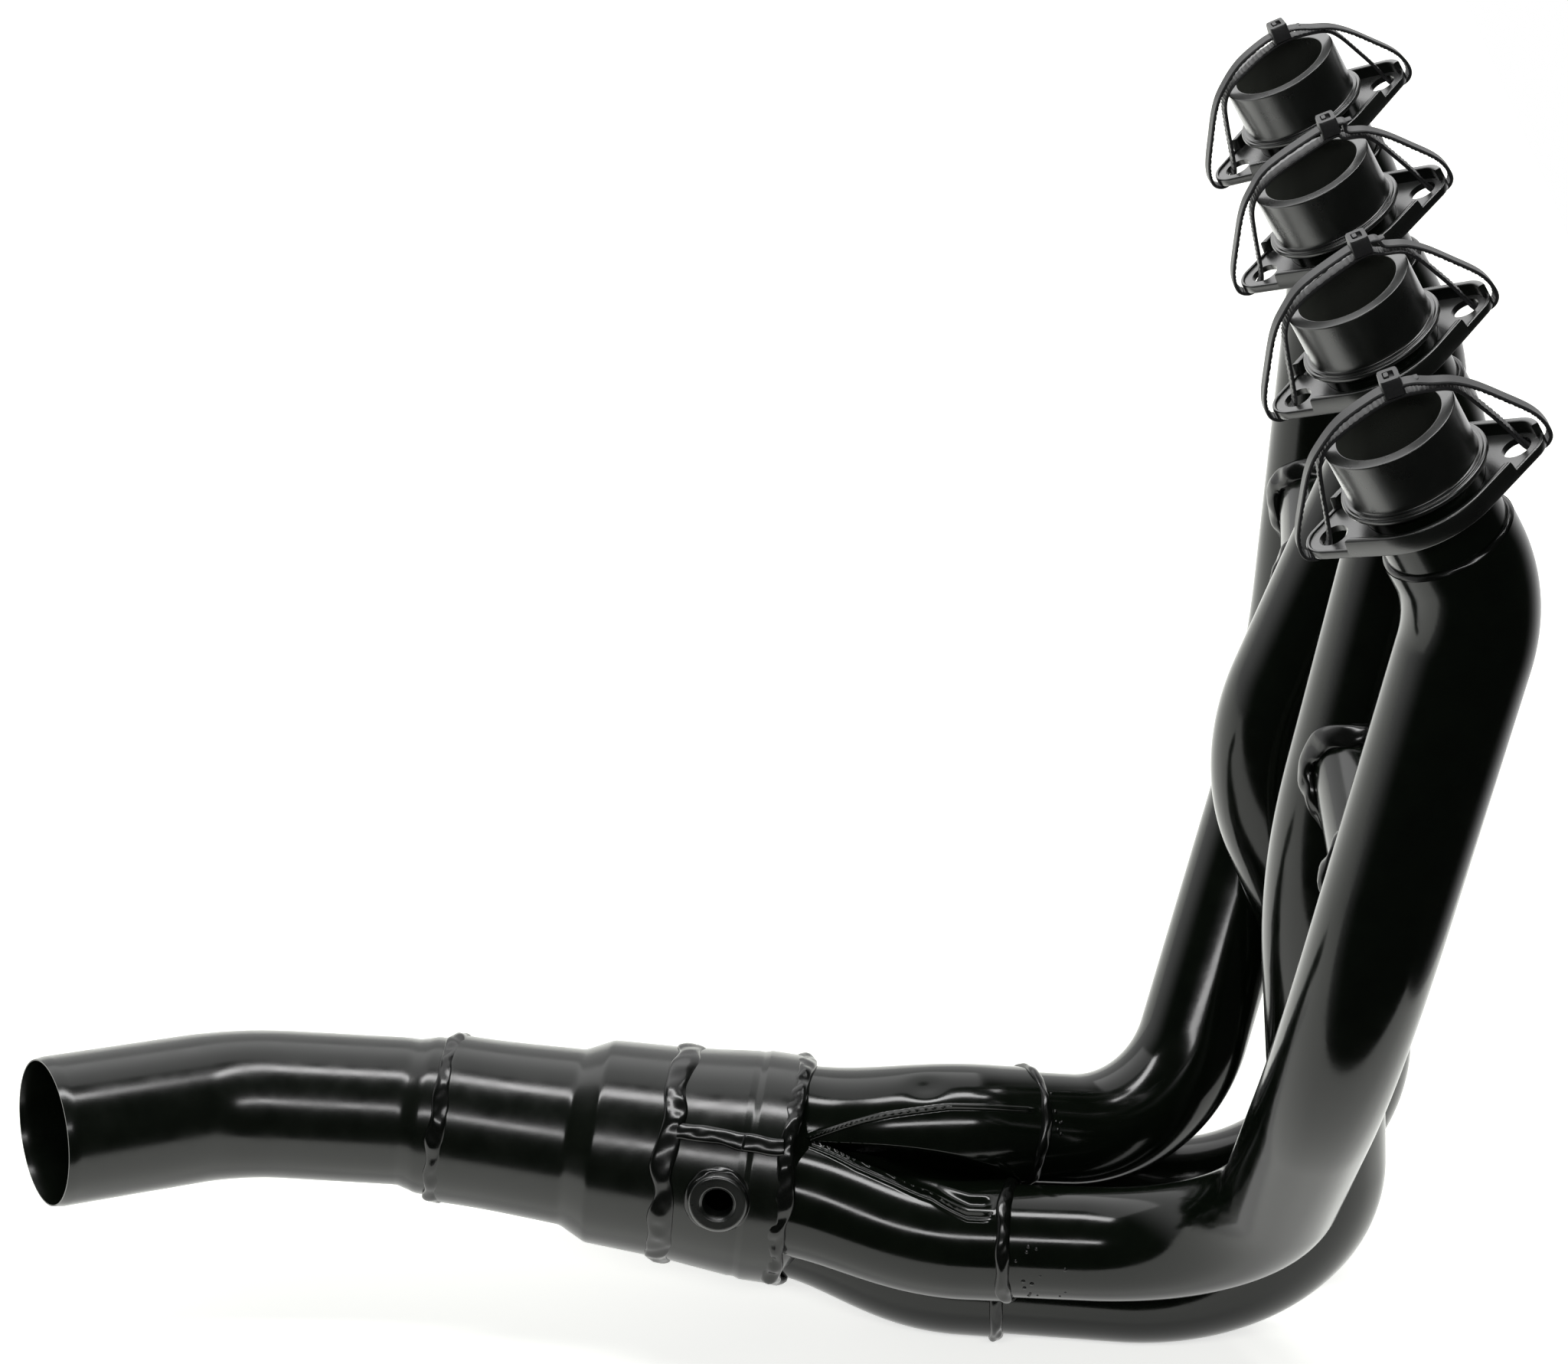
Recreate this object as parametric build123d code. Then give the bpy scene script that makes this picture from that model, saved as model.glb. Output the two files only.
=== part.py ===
"""Motorcycle exhaust header: four bent primary tubes, their port ends and a four-into-one merge.

Millimetres. The origin is the centre of the mouth of port 1, the outermost port on the right-hand side.
+X is forward, +Y runs along the row of ports to the left-hand side of the engine and +Z is up.
"""
import os
from math import acos, cos, radians, sin, tan

from build123d import *

# Ports
PORT_COUNT = 4
PORT_PITCH = 83.2
PORT_TILT = 29.4
SPIGOT_OD = 39.4
SPIGOT_WALL = 2.7
SPIGOT_LENGTH = 17.0
SPIGOT_CHAMFER = 0.6
COLLAR_OD = 43.8
COLLAR_THICKNESS = 5.0
COLLAR_ROUND = 0.8

# Loose two-bolt flanges
STUD_SPACING = 58.0
STUD_HOLE_D = 8.8
FLANGE_HALF_LENGTH = 36.6
FLANGE_HALF_WIDTH = 27.6
FLANGE_TIP_R = 8.0
FLANGE_PLATE = 3.0
FLANGE_RIM_RISE = 3.2
FLANGE_RIM_WALL = 2.6
FLANGE_RIM_REACH = 24.0
FLANGE_CLOCKS = (2.0, 6.0, 4.0, 9.0)

# Tubes
TUBE_OD = 40.0
TUBE_WALL = 1.5
STUB_REACH = 48.0
TUBE_START = 42.0
CROSSOVER_OD = 25.4
CROSSOVER_WALL = 1.5
CROSSOVER_HEIGHT = -163.0

# Bend corners of each primary tube, and the bend radius at each corner
TOP_CORNER_DROP = (66.0, 66.0, 91.0, 62.0)
TOP_BEND_R = (45.0, 45.0, 60.0, 45.0)
MIDDLE_CORNER = ((2.0, -27.0, -205.0), (6.0, 56.0, -200.0), (-5.0, 144.0, -215.0), (22.0, 220.0, -235.0))
MIDDLE_BEND_R = (150.0, 180.0, 80.0, 143.0)
LOWER_CORNER = ((-3.0, 52.0, -361.0), (31.0, 74.0, -407.0), (85.0, 133.0, -431.0), (-29.0, 116.0, -363.0))
LOWER_BEND_R = (72.0, 70.0, 62.0, 48.0)

# Merge collector, measured along its axis from the mouths of the four legs
MERGE_START = (-86.0, 96.5, -379.0)
MERGE_AXIS = (-0.985, 0.115, 0.095)
LEG_OFFSET = 30.7
LEG_ANGLES = (16.0, -74.0, 196.0, 106.0)
LEG_WALL = 1.5
LEG_SOCKET = 12.0
LEG_END_OFFSET = 16.4
LEG_END_R = 23.6
CORE_START = 46.0
CORE_BEND = 66.0
CORE_END = 82.0
BODY_START = 82.0
LEG_TUCK = 6.0
BODY_BAND = 12.0
BODY_OD = 83.4
BODY_END_OD = 77.6
BODY_END = 124.5
SHEET_WALL = 1.8
REDUCER_STEP_START = 152.0
REDUCER_STEP_END = 162.0
REDUCER_LARGE_END_OD = 74.4
REDUCER_SMALL_START_OD = 64.6
REDUCER_END_OD = 61.6
REDUCER_END = 208.0

# Outlet pipe
OUTLET_OD = 54.0
OUTLET_WALL = 1.6
OUTLET_TUCK = 16.0
OUTLET_EXPANDED = 8.5
OUTLET_SWAGE = 6.0
OUTLET_CORNER = 294.0
OUTLET_END_RUN = 72.0
OUTLET_END_DIRECTION = (-0.79, -0.58, 0.20)
OUTLET_BEND_R = 92.0

# Threaded sensor bung in the merge body
BUNG_STATION = 107.0
BUNG_ANGLE = 17.5
BUNG_OD = 21.2
BUNG_PROUD = 4.0
BUNG_HOLE_D = 11.2

# Weld beads
BEAD_WIDTH = 4.2
BEAD_HEIGHT = 2.0
PORT_BEAD = 1.5
CROSSOVER_BEAD = 4.2

# Clearances
SLIP_FIT = 0.1
FLANGE_FIT = 0.7


def unit(values):
    """Return a direction as a vector of length one."""
    return Vector(*values).normalized()


MERGE_DIRECTION = unit(MERGE_AXIS)
MERGE_SIDE = (Vector(0, -1, 0) - MERGE_DIRECTION * Vector(0, -1, 0).dot(MERGE_DIRECTION)).normalized()
MERGE_PLANE = Plane(origin=MERGE_START, x_dir=MERGE_SIDE, z_dir=MERGE_DIRECTION)
PORT_NORMAL = Vector(-sin(radians(PORT_TILT)), 0, cos(radians(PORT_TILT)))
PORT_LONG = Vector(cos(radians(PORT_TILT)), 0, sin(radians(PORT_TILT)))
STUB_OD = TUBE_OD - 2 * TUBE_WALL - 2 * SLIP_FIT
SOCKET_R = TUBE_OD / 2 + SLIP_FIT
COLLAR_END = SPIGOT_LENGTH + COLLAR_THICKNESS
PLATE_END = COLLAR_END + FLANGE_PLATE
BODY_INNER_R = LEG_END_OFFSET + LEG_END_R + SLIP_FIT
SLEEVE_INNER_R = REDUCER_END_OD / 2 - SHEET_WALL


def port_plane(index):
    """Plane of a port's mouth: x to the upper stud, z out of the mouth."""
    return Plane(origin=(0, PORT_PITCH * index, 0), x_dir=PORT_LONG, z_dir=PORT_NORMAL)


def merge_side_plane(angle):
    """Plane on the merge axis whose x points away from it at an angle above the near side."""
    away = MERGE_PLANE.x_dir * cos(radians(angle)) + MERGE_PLANE.y_dir * sin(radians(angle))
    return Plane(origin=MERGE_START, x_dir=away, z_dir=MERGE_DIRECTION)


def revolved(plane, outline):
    """Turn a closed outline of (radius, station) points about the plane's z axis."""
    face = make_face(Polyline(*[(r, 0, z) for r, z in outline], close=True))
    return plane * revolve(face, axis=Axis.Z)


def bent_path(points, radii):
    """Wire of straight runs joined by tangent arcs at the inner points."""
    points = [Vector(*p) for p in points]
    edges = []
    start = points[0]
    for before, corner, after, radius in zip(points, points[1:], points[2:], radii):
        arriving = (corner - before).normalized()
        leaving = (after - corner).normalized()
        turn = acos(arriving.dot(leaving))
        reach = radius * tan(turn / 2)
        first = corner - arriving * reach
        last = corner + leaving * reach
        inward = (leaving - arriving).normalized()
        middle = corner + inward * (radius / cos(turn / 2) - radius)
        edges.append(Line(start, first))
        edges.append(ThreePointArc(first, middle, last))
        start = last
    edges.append(Line(start, points[-1]))
    return Wire(edges)


def swept_rod(points, radii, radius):
    """Solid rod of one radius along a bent path."""
    path = bent_path(points, radii)
    plane = Plane(origin=points[0], z_dir=(Vector(*points[1]) - Vector(*points[0])).normalized())
    return sweep(plane * Circle(radius), path=path)


def leg_mouth(index):
    """Centre of the mouth of the merge leg that takes one primary tube."""
    return merge_side_plane(LEG_ANGLES[index]).from_local_coords(Vector(LEG_OFFSET, 0, 0))


def tube_points(index):
    """Start, bend corners and end of a primary tube's centreline."""
    mouth = Vector(0, PORT_PITCH * index, 0)
    lower = Vector(*LOWER_CORNER[index])
    end = leg_mouth(index)
    into_leg = (end - lower).normalized()
    return [
        mouth - PORT_NORMAL * TUBE_START,
        mouth - PORT_NORMAL * TOP_CORNER_DROP[index],
        Vector(*MIDDLE_CORNER[index]),
        lower,
        end + into_leg * LEG_SOCKET,
    ]


def tube_radii(index):
    """Bend radii of a primary tube, from the port down."""
    return [TOP_BEND_R[index], MIDDLE_BEND_R[index], LOWER_BEND_R[index]]


def into_leg(index):
    """Direction of a primary tube where it enters its leg."""
    return (leg_mouth(index) - Vector(*LOWER_CORNER[index])).normalized()


def port_spigot(index):
    """Turned spigot with a bearing collar and a seat for the stub."""
    bore = SPIGOT_OD / 2 - SPIGOT_WALL
    seat = STUB_OD / 2 + SLIP_FIT / 2
    profile = [
        (bore, -SPIGOT_LENGTH),
        (bore, -SPIGOT_CHAMFER),
        (bore + SPIGOT_CHAMFER, 0),
        (SPIGOT_OD / 2, 0),
        (SPIGOT_OD / 2, -SPIGOT_LENGTH),
        (COLLAR_OD / 2 - COLLAR_ROUND, -SPIGOT_LENGTH),
        (COLLAR_OD / 2, -SPIGOT_LENGTH - COLLAR_ROUND),
        (COLLAR_OD / 2, -COLLAR_END + COLLAR_ROUND),
        (COLLAR_OD / 2 - COLLAR_ROUND, -COLLAR_END),
        (seat, -COLLAR_END),
        (seat, -SPIGOT_LENGTH),
    ]
    return revolved(port_plane(index), profile)


def port_stub(index):
    """Short pipe from the collar into the primary tube."""
    outer = STUB_OD / 2
    inner = outer - TUBE_WALL
    profile = [(inner, -STUB_REACH), (outer, -STUB_REACH), (outer, -SPIGOT_LENGTH), (inner, -SPIGOT_LENGTH)]
    return revolved(port_plane(index), profile)


def flange_outline(inset):
    """Leaf outline of a flange: two shallow arcs that meet in rounded tips."""
    half_width = FLANGE_HALF_WIDTH - inset
    tip = FLANGE_TIP_R - inset
    centre = FLANGE_HALF_LENGTH - FLANGE_TIP_R
    drop = (centre ** 2 - (half_width - tip) ** 2) / (2 * (half_width - tip))
    side = half_width + drop
    lean = Vector(centre, drop).normalized()
    right = Vector(centre, 0) + lean * tip
    left = Vector(-right.X, right.Y)
    edges = [
        ThreePointArc(left, (0, side - drop), right),
        ThreePointArc(right, (centre + tip, 0), (right.X, -right.Y)),
        ThreePointArc((right.X, -right.Y), (0, drop - side), (left.X, -left.Y)),
        ThreePointArc((left.X, -left.Y), (-centre - tip, 0), left),
    ]
    return make_face(Wire(edges))


def port_flange(index):
    """Pressed two-bolt flange with upturned rims along its long sides."""
    hole = STUB_OD / 2 + FLANGE_FIT
    plate = extrude(flange_outline(0), amount=FLANGE_PLATE)
    rim = extrude(flange_outline(0) - flange_outline(FLANGE_RIM_WALL), amount=FLANGE_PLATE + FLANGE_RIM_RISE)
    tall = FLANGE_PLATE + FLANGE_RIM_RISE
    keep = Pos(0, 0, tall / 2) * Box(2 * FLANGE_RIM_REACH, 4 * FLANGE_HALF_WIDTH, tall)
    low = Pos(0, 0, tall / 4) * Box(4 * FLANGE_HALF_LENGTH, 4 * FLANGE_HALF_WIDTH, tall / 2 + FLANGE_RIM_RISE / 2)
    body = plate + (rim & keep) + (rim & low)
    body -= Pos(0, 0, tall / 2) * Cylinder(hole, 2 * tall)
    for end in (-1, 1):
        body -= Pos(end * STUD_SPACING / 2, 0, tall / 2) * Cylinder(STUD_HOLE_D / 2, 2 * tall)
    return port_plane(index) * Pos(0, 0, -PLATE_END) * Rot(0, 0, FLANGE_CLOCKS[index]) * body


def port_weld(index):
    """Fillet bead where a primary tube's end meets the stub."""
    inner = STUB_OD / 2
    face = -TUBE_START
    outer = TUBE_OD / 2
    profile = [
        (inner, face),
        (outer - 0.3, face),
        (outer - 0.5, face + 0.45 * PORT_BEAD),
        (inner + 0.35 * PORT_BEAD, face + PORT_BEAD),
        (inner, face + PORT_BEAD),
    ]
    return revolved(port_plane(index), profile)


def leg_rod(index, shrink):
    """Solid core of a merge leg, from its round socket to the merge end."""
    plane = merge_side_plane(LEG_ANGLES[index])
    start = leg_mouth(index)
    run = BODY_START + LEG_TUCK
    finish = plane.from_local_coords(Vector(LEG_END_OFFSET, 0, run))
    aim = into_leg(index)
    first_r = SOCKET_R + LEG_WALL - shrink
    last_r = LEG_END_R - shrink
    seat = start + aim * LEG_SOCKET
    lead = (finish - seat).length * 0.4
    handles = [seat, seat + aim * lead, finish - MERGE_DIRECTION * lead, finish]
    sections = []
    for step in range(5):
        t = step / 4
        b = [(1 - t) ** 3, 3 * t * (1 - t) ** 2, 3 * t * t * (1 - t), t ** 3]
        d = [-3 * (1 - t) ** 2, 3 * (1 - t) * (1 - 3 * t), 3 * t * (2 - 3 * t), 3 * t * t]
        centre = sum((h * w for h, w in zip(handles, b)), Vector(0, 0, 0))
        heading = sum((h * w for h, w in zip(handles, d)), Vector(0, 0, 0)).normalized()
        radius = first_r + (last_r - first_r) * t
        sections.append(Plane(origin=centre, x_dir=heading.cross(Vector(0, 1, 0)), z_dir=heading) * Circle(radius))
    socket = Plane(origin=start, z_dir=aim) * Pos(0, 0, LEG_SOCKET / 2) * Cylinder(first_r, LEG_SOCKET)
    return socket + loft(sections)


def core_cone(shrink):
    """Round core that fills the valleys between the legs near the merge."""
    far = BODY_START + LEG_TUCK
    full = BODY_INNER_R - SLIP_FIT - shrink
    outline = [
        (0, CORE_START),
        (full * 0.12, CORE_START),
        (full * 0.6, CORE_BEND),
        (full, CORE_END),
        (full, far),
        (0, far),
    ]
    return revolved(MERGE_PLANE, outline)


def leg_wedge(index, inset):
    """Quarter sector about the merge axis, its two flat sides inset by half the party wall."""
    size = 90
    tall = 240
    corner = inset * 2 ** 0.5
    block = Box(size, size, tall, align=(Align.MIN, Align.MIN, Align.CENTER))
    return merge_side_plane(LEG_ANGLES[index]) * Pos(corner, 0, 0) * Rot(0, 0, -45) * block


def leg_outside(index):
    """Filled outside form of one merge leg."""
    return (leg_rod(index, 0) + core_cone(0)) & leg_wedge(index, 0)


def collector_leg(index):
    """Pressed leg: round socket at one end, quarter of the merge at the other."""
    outer = leg_outside(index)
    inner = (leg_rod(index, LEG_WALL) + core_cone(LEG_WALL)) & leg_wedge(index, LEG_WALL / 2)
    aim = into_leg(index)
    bore = Plane(origin=leg_mouth(index), z_dir=aim) * Pos(0, 0, LEG_SOCKET / 2) * Cylinder(SOCKET_R, LEG_SOCKET)
    return outer - inner - bore


def leg_weld(index):
    """Fillet bead round a primary tube at the mouth of its leg."""
    plane = Plane(origin=leg_mouth(index), z_dir=into_leg(index))
    inner = TUBE_OD / 2
    outer = SOCKET_R + LEG_WALL
    profile = [
        (inner, -BEAD_WIDTH),
        (inner + 0.4 * BEAD_HEIGHT, -0.75 * BEAD_WIDTH),
        (inner + 0.8 * BEAD_HEIGHT, -0.3 * BEAD_WIDTH),
        (outer, 0),
        (inner, 0),
    ]
    return revolved(plane, profile)


def collector_body():
    """Short drawn cone with a plain band that takes the four legs."""
    inner = BODY_INNER_R
    outer = inner + SHEET_WALL
    end = BODY_END_OD / 2
    profile = [
        (inner, BODY_START),
        (outer, BODY_START),
        (outer, BODY_START + BODY_BAND),
        (BODY_OD / 2, BODY_START + BODY_BAND + 3),
        (end, BODY_END - BEAD_WIDTH),
        (end, BODY_END),
        (end - SHEET_WALL, BODY_END),
        (end - SHEET_WALL, BODY_END - BEAD_WIDTH),
        (BODY_OD / 2 - SHEET_WALL, BODY_START + BODY_BAND + 3),
        (inner, BODY_START + BODY_BAND),
    ]
    return revolved(MERGE_PLANE, profile)


def collector_reducer():
    """Stepped sleeve from the merge body down to the outlet pipe."""
    first = BODY_END_OD / 2
    large = REDUCER_LARGE_END_OD / 2
    small = REDUCER_SMALL_START_OD / 2
    last = REDUCER_END_OD / 2
    outside = [
        (first, BODY_END),
        (first, BODY_END + BEAD_WIDTH),
        (large, REDUCER_STEP_START),
        (small, REDUCER_STEP_END),
        (last, REDUCER_END - OUTLET_TUCK),
        (last, REDUCER_END),
    ]
    inside = [(r - SHEET_WALL, z) for r, z in reversed(outside)]
    return revolved(MERGE_PLANE, outside + inside)


def outlet_pipe():
    """Bent outlet pipe whose near end is expanded to fill the sleeve."""
    start = REDUCER_END - OUTLET_TUCK
    swell = SLEEVE_INNER_R - SLIP_FIT
    plain = OUTLET_OD / 2
    swage = REDUCER_END + OUTLET_EXPANDED
    end = swage + OUTLET_SWAGE
    outside = [(swell, start), (swell, swage), (plain, end)]
    inside = [(r - OUTLET_WALL, z) for r, z in reversed(outside)]
    bell = revolved(MERGE_PLANE, outside + inside)
    corner = MERGE_PLANE.from_local_coords(Vector(0, 0, OUTLET_CORNER))
    points = [
        MERGE_PLANE.from_local_coords(Vector(0, 0, end)),
        corner,
        corner + unit(OUTLET_END_DIRECTION) * OUTLET_END_RUN,
    ]
    rod = swept_rod(points, [OUTLET_BEND_R], plain)
    return bell + (rod - swept_rod(points, [OUTLET_BEND_R], plain - OUTLET_WALL))


def girth_weld(station):
    """Raised bead over a butt joint in the merge."""
    inner = BODY_END_OD / 2
    profile = [
        (inner, station - 0.8 * BEAD_WIDTH),
        (inner + 0.7 * BEAD_HEIGHT, station - 0.45 * BEAD_WIDTH),
        (inner + BEAD_HEIGHT, station),
        (inner + 0.7 * BEAD_HEIGHT, station + 0.45 * BEAD_WIDTH),
        (inner, station + 0.8 * BEAD_WIDTH),
    ]
    return revolved(MERGE_PLANE, profile)


def outlet_weld():
    """Fillet bead between the sleeve's end and the outlet pipe."""
    inner = SLEEVE_INNER_R - SLIP_FIT
    outer = REDUCER_END_OD / 2
    profile = [
        (inner, REDUCER_END),
        (outer, REDUCER_END),
        (outer - 0.25 * BEAD_HEIGHT, REDUCER_END + 0.5 * BEAD_WIDTH),
        (inner, REDUCER_END + 1.2 * BEAD_WIDTH),
    ]
    return revolved(MERGE_PLANE, profile)


def merge_weld():
    """Bead where the four legs enter the merge body, shaped to the legs."""
    inner = BODY_INNER_R - 4
    outer = BODY_INNER_R + 0.75 * SHEET_WALL
    profile = [
        (inner, BODY_START),
        (outer, BODY_START),
        (outer - 0.2 * BEAD_HEIGHT, BODY_START - 0.6 * BEAD_WIDTH),
        (BODY_INNER_R, BODY_START - BEAD_WIDTH),
        (inner, BODY_START - 1.2 * BEAD_WIDTH),
    ]
    bead = revolved(MERGE_PLANE, profile)
    for index in range(PORT_COUNT):
        bead -= leg_outside(index)
    return bead


def bung_plane():
    """Plane on the merge axis at the bung, z out through the bung."""
    side = merge_side_plane(BUNG_ANGLE)
    origin = side.from_local_coords(Vector(0, 0, BUNG_STATION))
    return Plane(origin=origin, x_dir=MERGE_DIRECTION, z_dir=side.x_dir)


def body_radius(station):
    """Outside radius of the merge body's cone at a station."""
    near = BODY_START + BODY_BAND + 3
    share = (station - near) / (BODY_END - BEAD_WIDTH - near)
    return BODY_OD / 2 + (BODY_END_OD - BODY_OD) / 2 * share


def lambda_bung():
    """Threaded boss set through the wall of the merge body."""
    root = body_radius(BUNG_STATION) - SHEET_WALL - 3
    top = body_radius(BUNG_STATION) + BUNG_PROUD
    profile = [
        (BUNG_HOLE_D / 2, root),
        (BUNG_OD / 2, root),
        (BUNG_OD / 2, top - 0.8),
        (BUNG_OD / 2 - 0.8, top),
        (BUNG_HOLE_D / 2 + 0.8, top),
        (BUNG_HOLE_D / 2, top - 0.8),
    ]
    return revolved(bung_plane(), profile)


def bung_clearance():
    """Rod that opens the wall of the merge body for the bung."""
    reach = BODY_OD
    return bung_plane() * Pos(0, 0, reach / 2) * Cylinder(BUNG_OD / 2, reach)


def crossing_point(index):
    """Point of a primary tube's centreline at the height of the crossovers."""
    top = Vector(0, PORT_PITCH * index, 0) - PORT_NORMAL * TOP_CORNER_DROP[index]
    low = Vector(*MIDDLE_CORNER[index])
    share = (CROSSOVER_HEIGHT - top.Z) / (low.Z - top.Z)
    return top + (low - top) * share


def crossover_rod(first, second, radius, trim):
    """Round rod between the centrelines of two primary tubes, shortened at both ends."""
    start = crossing_point(first)
    finish = crossing_point(second)
    way = (finish - start).normalized()
    length = (finish - start).length - 2 * trim
    return Plane(origin=start + way * trim, z_dir=way) * Pos(0, 0, length / 2) * Cylinder(radius, length)


def crossover_weld(rods, near, far):
    """Bead round a crossover tube where it meets the tube named first."""
    start = crossing_point(near)
    way = (crossing_point(far) - start).normalized()
    inner = CROSSOVER_OD / 2
    reach = TUBE_OD / 2 + 0.6 * CROSSOVER_BEAD
    profile = [
        (inner, 8),
        (inner + CROSSOVER_BEAD, 8),
        (inner + CROSSOVER_BEAD, reach - 0.9 * CROSSOVER_BEAD),
        (inner + 0.75 * CROSSOVER_BEAD, reach - 0.3 * CROSSOVER_BEAD),
        (inner, reach),
    ]
    return revolved(Plane(origin=start, z_dir=way), profile) - rods[near]


def main():
    """Build every node and write one STEP file for each."""
    nodes = {}
    ports = range(PORT_COUNT)
    rods = [swept_rod(tube_points(i), tube_radii(i), TUBE_OD / 2) for i in ports]
    bores = [swept_rod(tube_points(i), tube_radii(i), TUBE_OD / 2 - TUBE_WALL) for i in ports]
    pairs = ((0, 1), (2, 3))
    for i in ports:
        tube = rods[i] - bores[i]
        for pair in pairs:
            if i in pair:
                tube -= crossover_rod(*pair, CROSSOVER_OD / 2 - CROSSOVER_WALL, 0)
        nodes[f"primary_tube_{i + 1}"] = tube
        nodes[f"port_spigot_{i + 1}"] = port_spigot(i)
        nodes[f"port_stub_{i + 1}"] = port_stub(i)
        nodes[f"port_flange_{i + 1}"] = port_flange(i)
        nodes[f"port_weld_{i + 1}"] = port_weld(i)
        nodes[f"collector_leg_{i + 1}"] = collector_leg(i)
        nodes[f"leg_weld_{i + 1}"] = leg_weld(i)
    for first, second in pairs:
        shell = crossover_rod(first, second, CROSSOVER_OD / 2, 0)
        shell -= crossover_rod(first, second, CROSSOVER_OD / 2 - CROSSOVER_WALL, 0)
        nodes[f"crossover_{first + 1}{second + 1}"] = shell - rods[first] - rods[second]
        nodes[f"crossover_weld_{first + 1}"] = crossover_weld(rods, first, second)
        nodes[f"crossover_weld_{second + 1}"] = crossover_weld(rods, second, first)
    nodes["collector_body"] = collector_body() - bung_clearance()
    nodes["lambda_bung"] = lambda_bung()
    nodes["collector_reducer"] = collector_reducer()
    nodes["outlet_pipe"] = outlet_pipe()
    nodes["merge_weld"] = merge_weld()
    nodes["body_weld"] = girth_weld(BODY_END)
    nodes["outlet_weld"] = outlet_weld()
    os.makedirs("parts", exist_ok=True)
    for name, shape in nodes.items():
        shape.label = name
        export_step(shape, f"parts/{name}.step")
        print(name, len(shape.solids()), round(shape.volume), shape.is_valid)


if __name__ == "__main__":
    main()
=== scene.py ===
"""Blender scene of a four-into-one motorcycle exhaust header in black paint, its loose flanges lashed up.

Sizes are in millimetres in the header's own frame: the origin is the centre of the mouth of port 1, +X is
forward, +Y runs along the row of ports and +Z is up. Surfaces are turned to metres when a mesh is made.
"""

import logging
import math
from dataclasses import dataclass, field, replace
from enum import Enum

import bmesh
import bpy
import numpy as np
from bpy.types import ID, Material, Mesh, Node, NodeTree, Object
from mathutils import Matrix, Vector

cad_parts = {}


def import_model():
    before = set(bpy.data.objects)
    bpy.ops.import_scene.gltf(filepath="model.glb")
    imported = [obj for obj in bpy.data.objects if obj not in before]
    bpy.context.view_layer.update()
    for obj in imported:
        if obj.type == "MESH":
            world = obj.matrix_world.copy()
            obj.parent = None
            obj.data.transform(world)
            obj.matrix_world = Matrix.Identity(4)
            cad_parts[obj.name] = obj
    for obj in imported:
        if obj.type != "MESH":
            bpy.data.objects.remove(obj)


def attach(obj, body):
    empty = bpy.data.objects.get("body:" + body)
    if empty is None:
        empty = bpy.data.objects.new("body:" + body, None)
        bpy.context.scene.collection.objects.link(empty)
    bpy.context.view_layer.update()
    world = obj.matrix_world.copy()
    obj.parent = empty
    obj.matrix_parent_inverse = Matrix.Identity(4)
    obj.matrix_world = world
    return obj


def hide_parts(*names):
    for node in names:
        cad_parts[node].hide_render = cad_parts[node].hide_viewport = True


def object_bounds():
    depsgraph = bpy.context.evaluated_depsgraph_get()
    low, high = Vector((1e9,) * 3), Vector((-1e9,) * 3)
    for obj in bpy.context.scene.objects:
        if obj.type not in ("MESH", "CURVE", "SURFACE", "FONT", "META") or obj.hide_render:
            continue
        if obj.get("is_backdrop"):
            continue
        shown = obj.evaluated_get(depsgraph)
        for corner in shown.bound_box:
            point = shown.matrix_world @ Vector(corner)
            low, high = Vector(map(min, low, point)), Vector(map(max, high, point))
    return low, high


LOG = logging.getLogger("header")
MM = 0.001
# Attribute that marks pipe bores, whose paint is drawn paler as a painted sheen of light on the inner wall.
BORE_SHEEN = "painted_bore_sheen"
WHITE = (1, 1, 1, 1)
Y_AXIS = np.array([0.0, 1.0, 0.0])
Z_AXIS = np.array([0.0, 0.0, 1.0])

# Sizes that more than one sub-assembly uses.
PORT_PITCH = 83.2
PORT_TILT = 29.4
TUBE_OD = 40.0
TUBE_START = 42.0
SLIP = 0.1

# Size of the smallest ring of a closed end, almost a point.
PIN = 0.001

Array = np.ndarray
Values = np.ndarray | float
Point = tuple[float, float, float]
Source = tuple[Node, str | int]


class Slot(Enum):
    """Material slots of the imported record."""

    GLOSS = "gloss_paint"
    SATIN = "satin_paint"
    WELD = "weld_paint"


class Sharp(Enum):
    """Degrees that an edge may turn by before it is drawn as a sharp one."""

    ROD = 30
    TIE = 32
    BOSS = 35
    FLANGE = 38
    TUBE = 40
    LEG = 50
    BEAD = 60
    SPATTER = 70


def unit(vector: Array) -> Array:
    """Vectors on the last axis, scaled to length one."""
    vector = np.asarray(vector, float)
    return vector / np.linalg.norm(vector, axis=-1, keepdims=True)


def linear_colour(code: str) -> tuple[float, float, float, float]:
    """Turn an sRGB hex code into a linear colour.

    Args:
        code: Six hex digits after a hash sign.

    Returns:
        Red, green, blue and alpha, linear.
    """
    value = np.array([int(code[i:i + 2], 16) / 255.0 for i in (1, 3, 5)])
    linear = np.where(value <= 0.04045, value / 12.92, ((value + 0.055) / 1.055) ** 2.4)
    return (float(linear[0]), float(linear[1]), float(linear[2]), 1.0)


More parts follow.
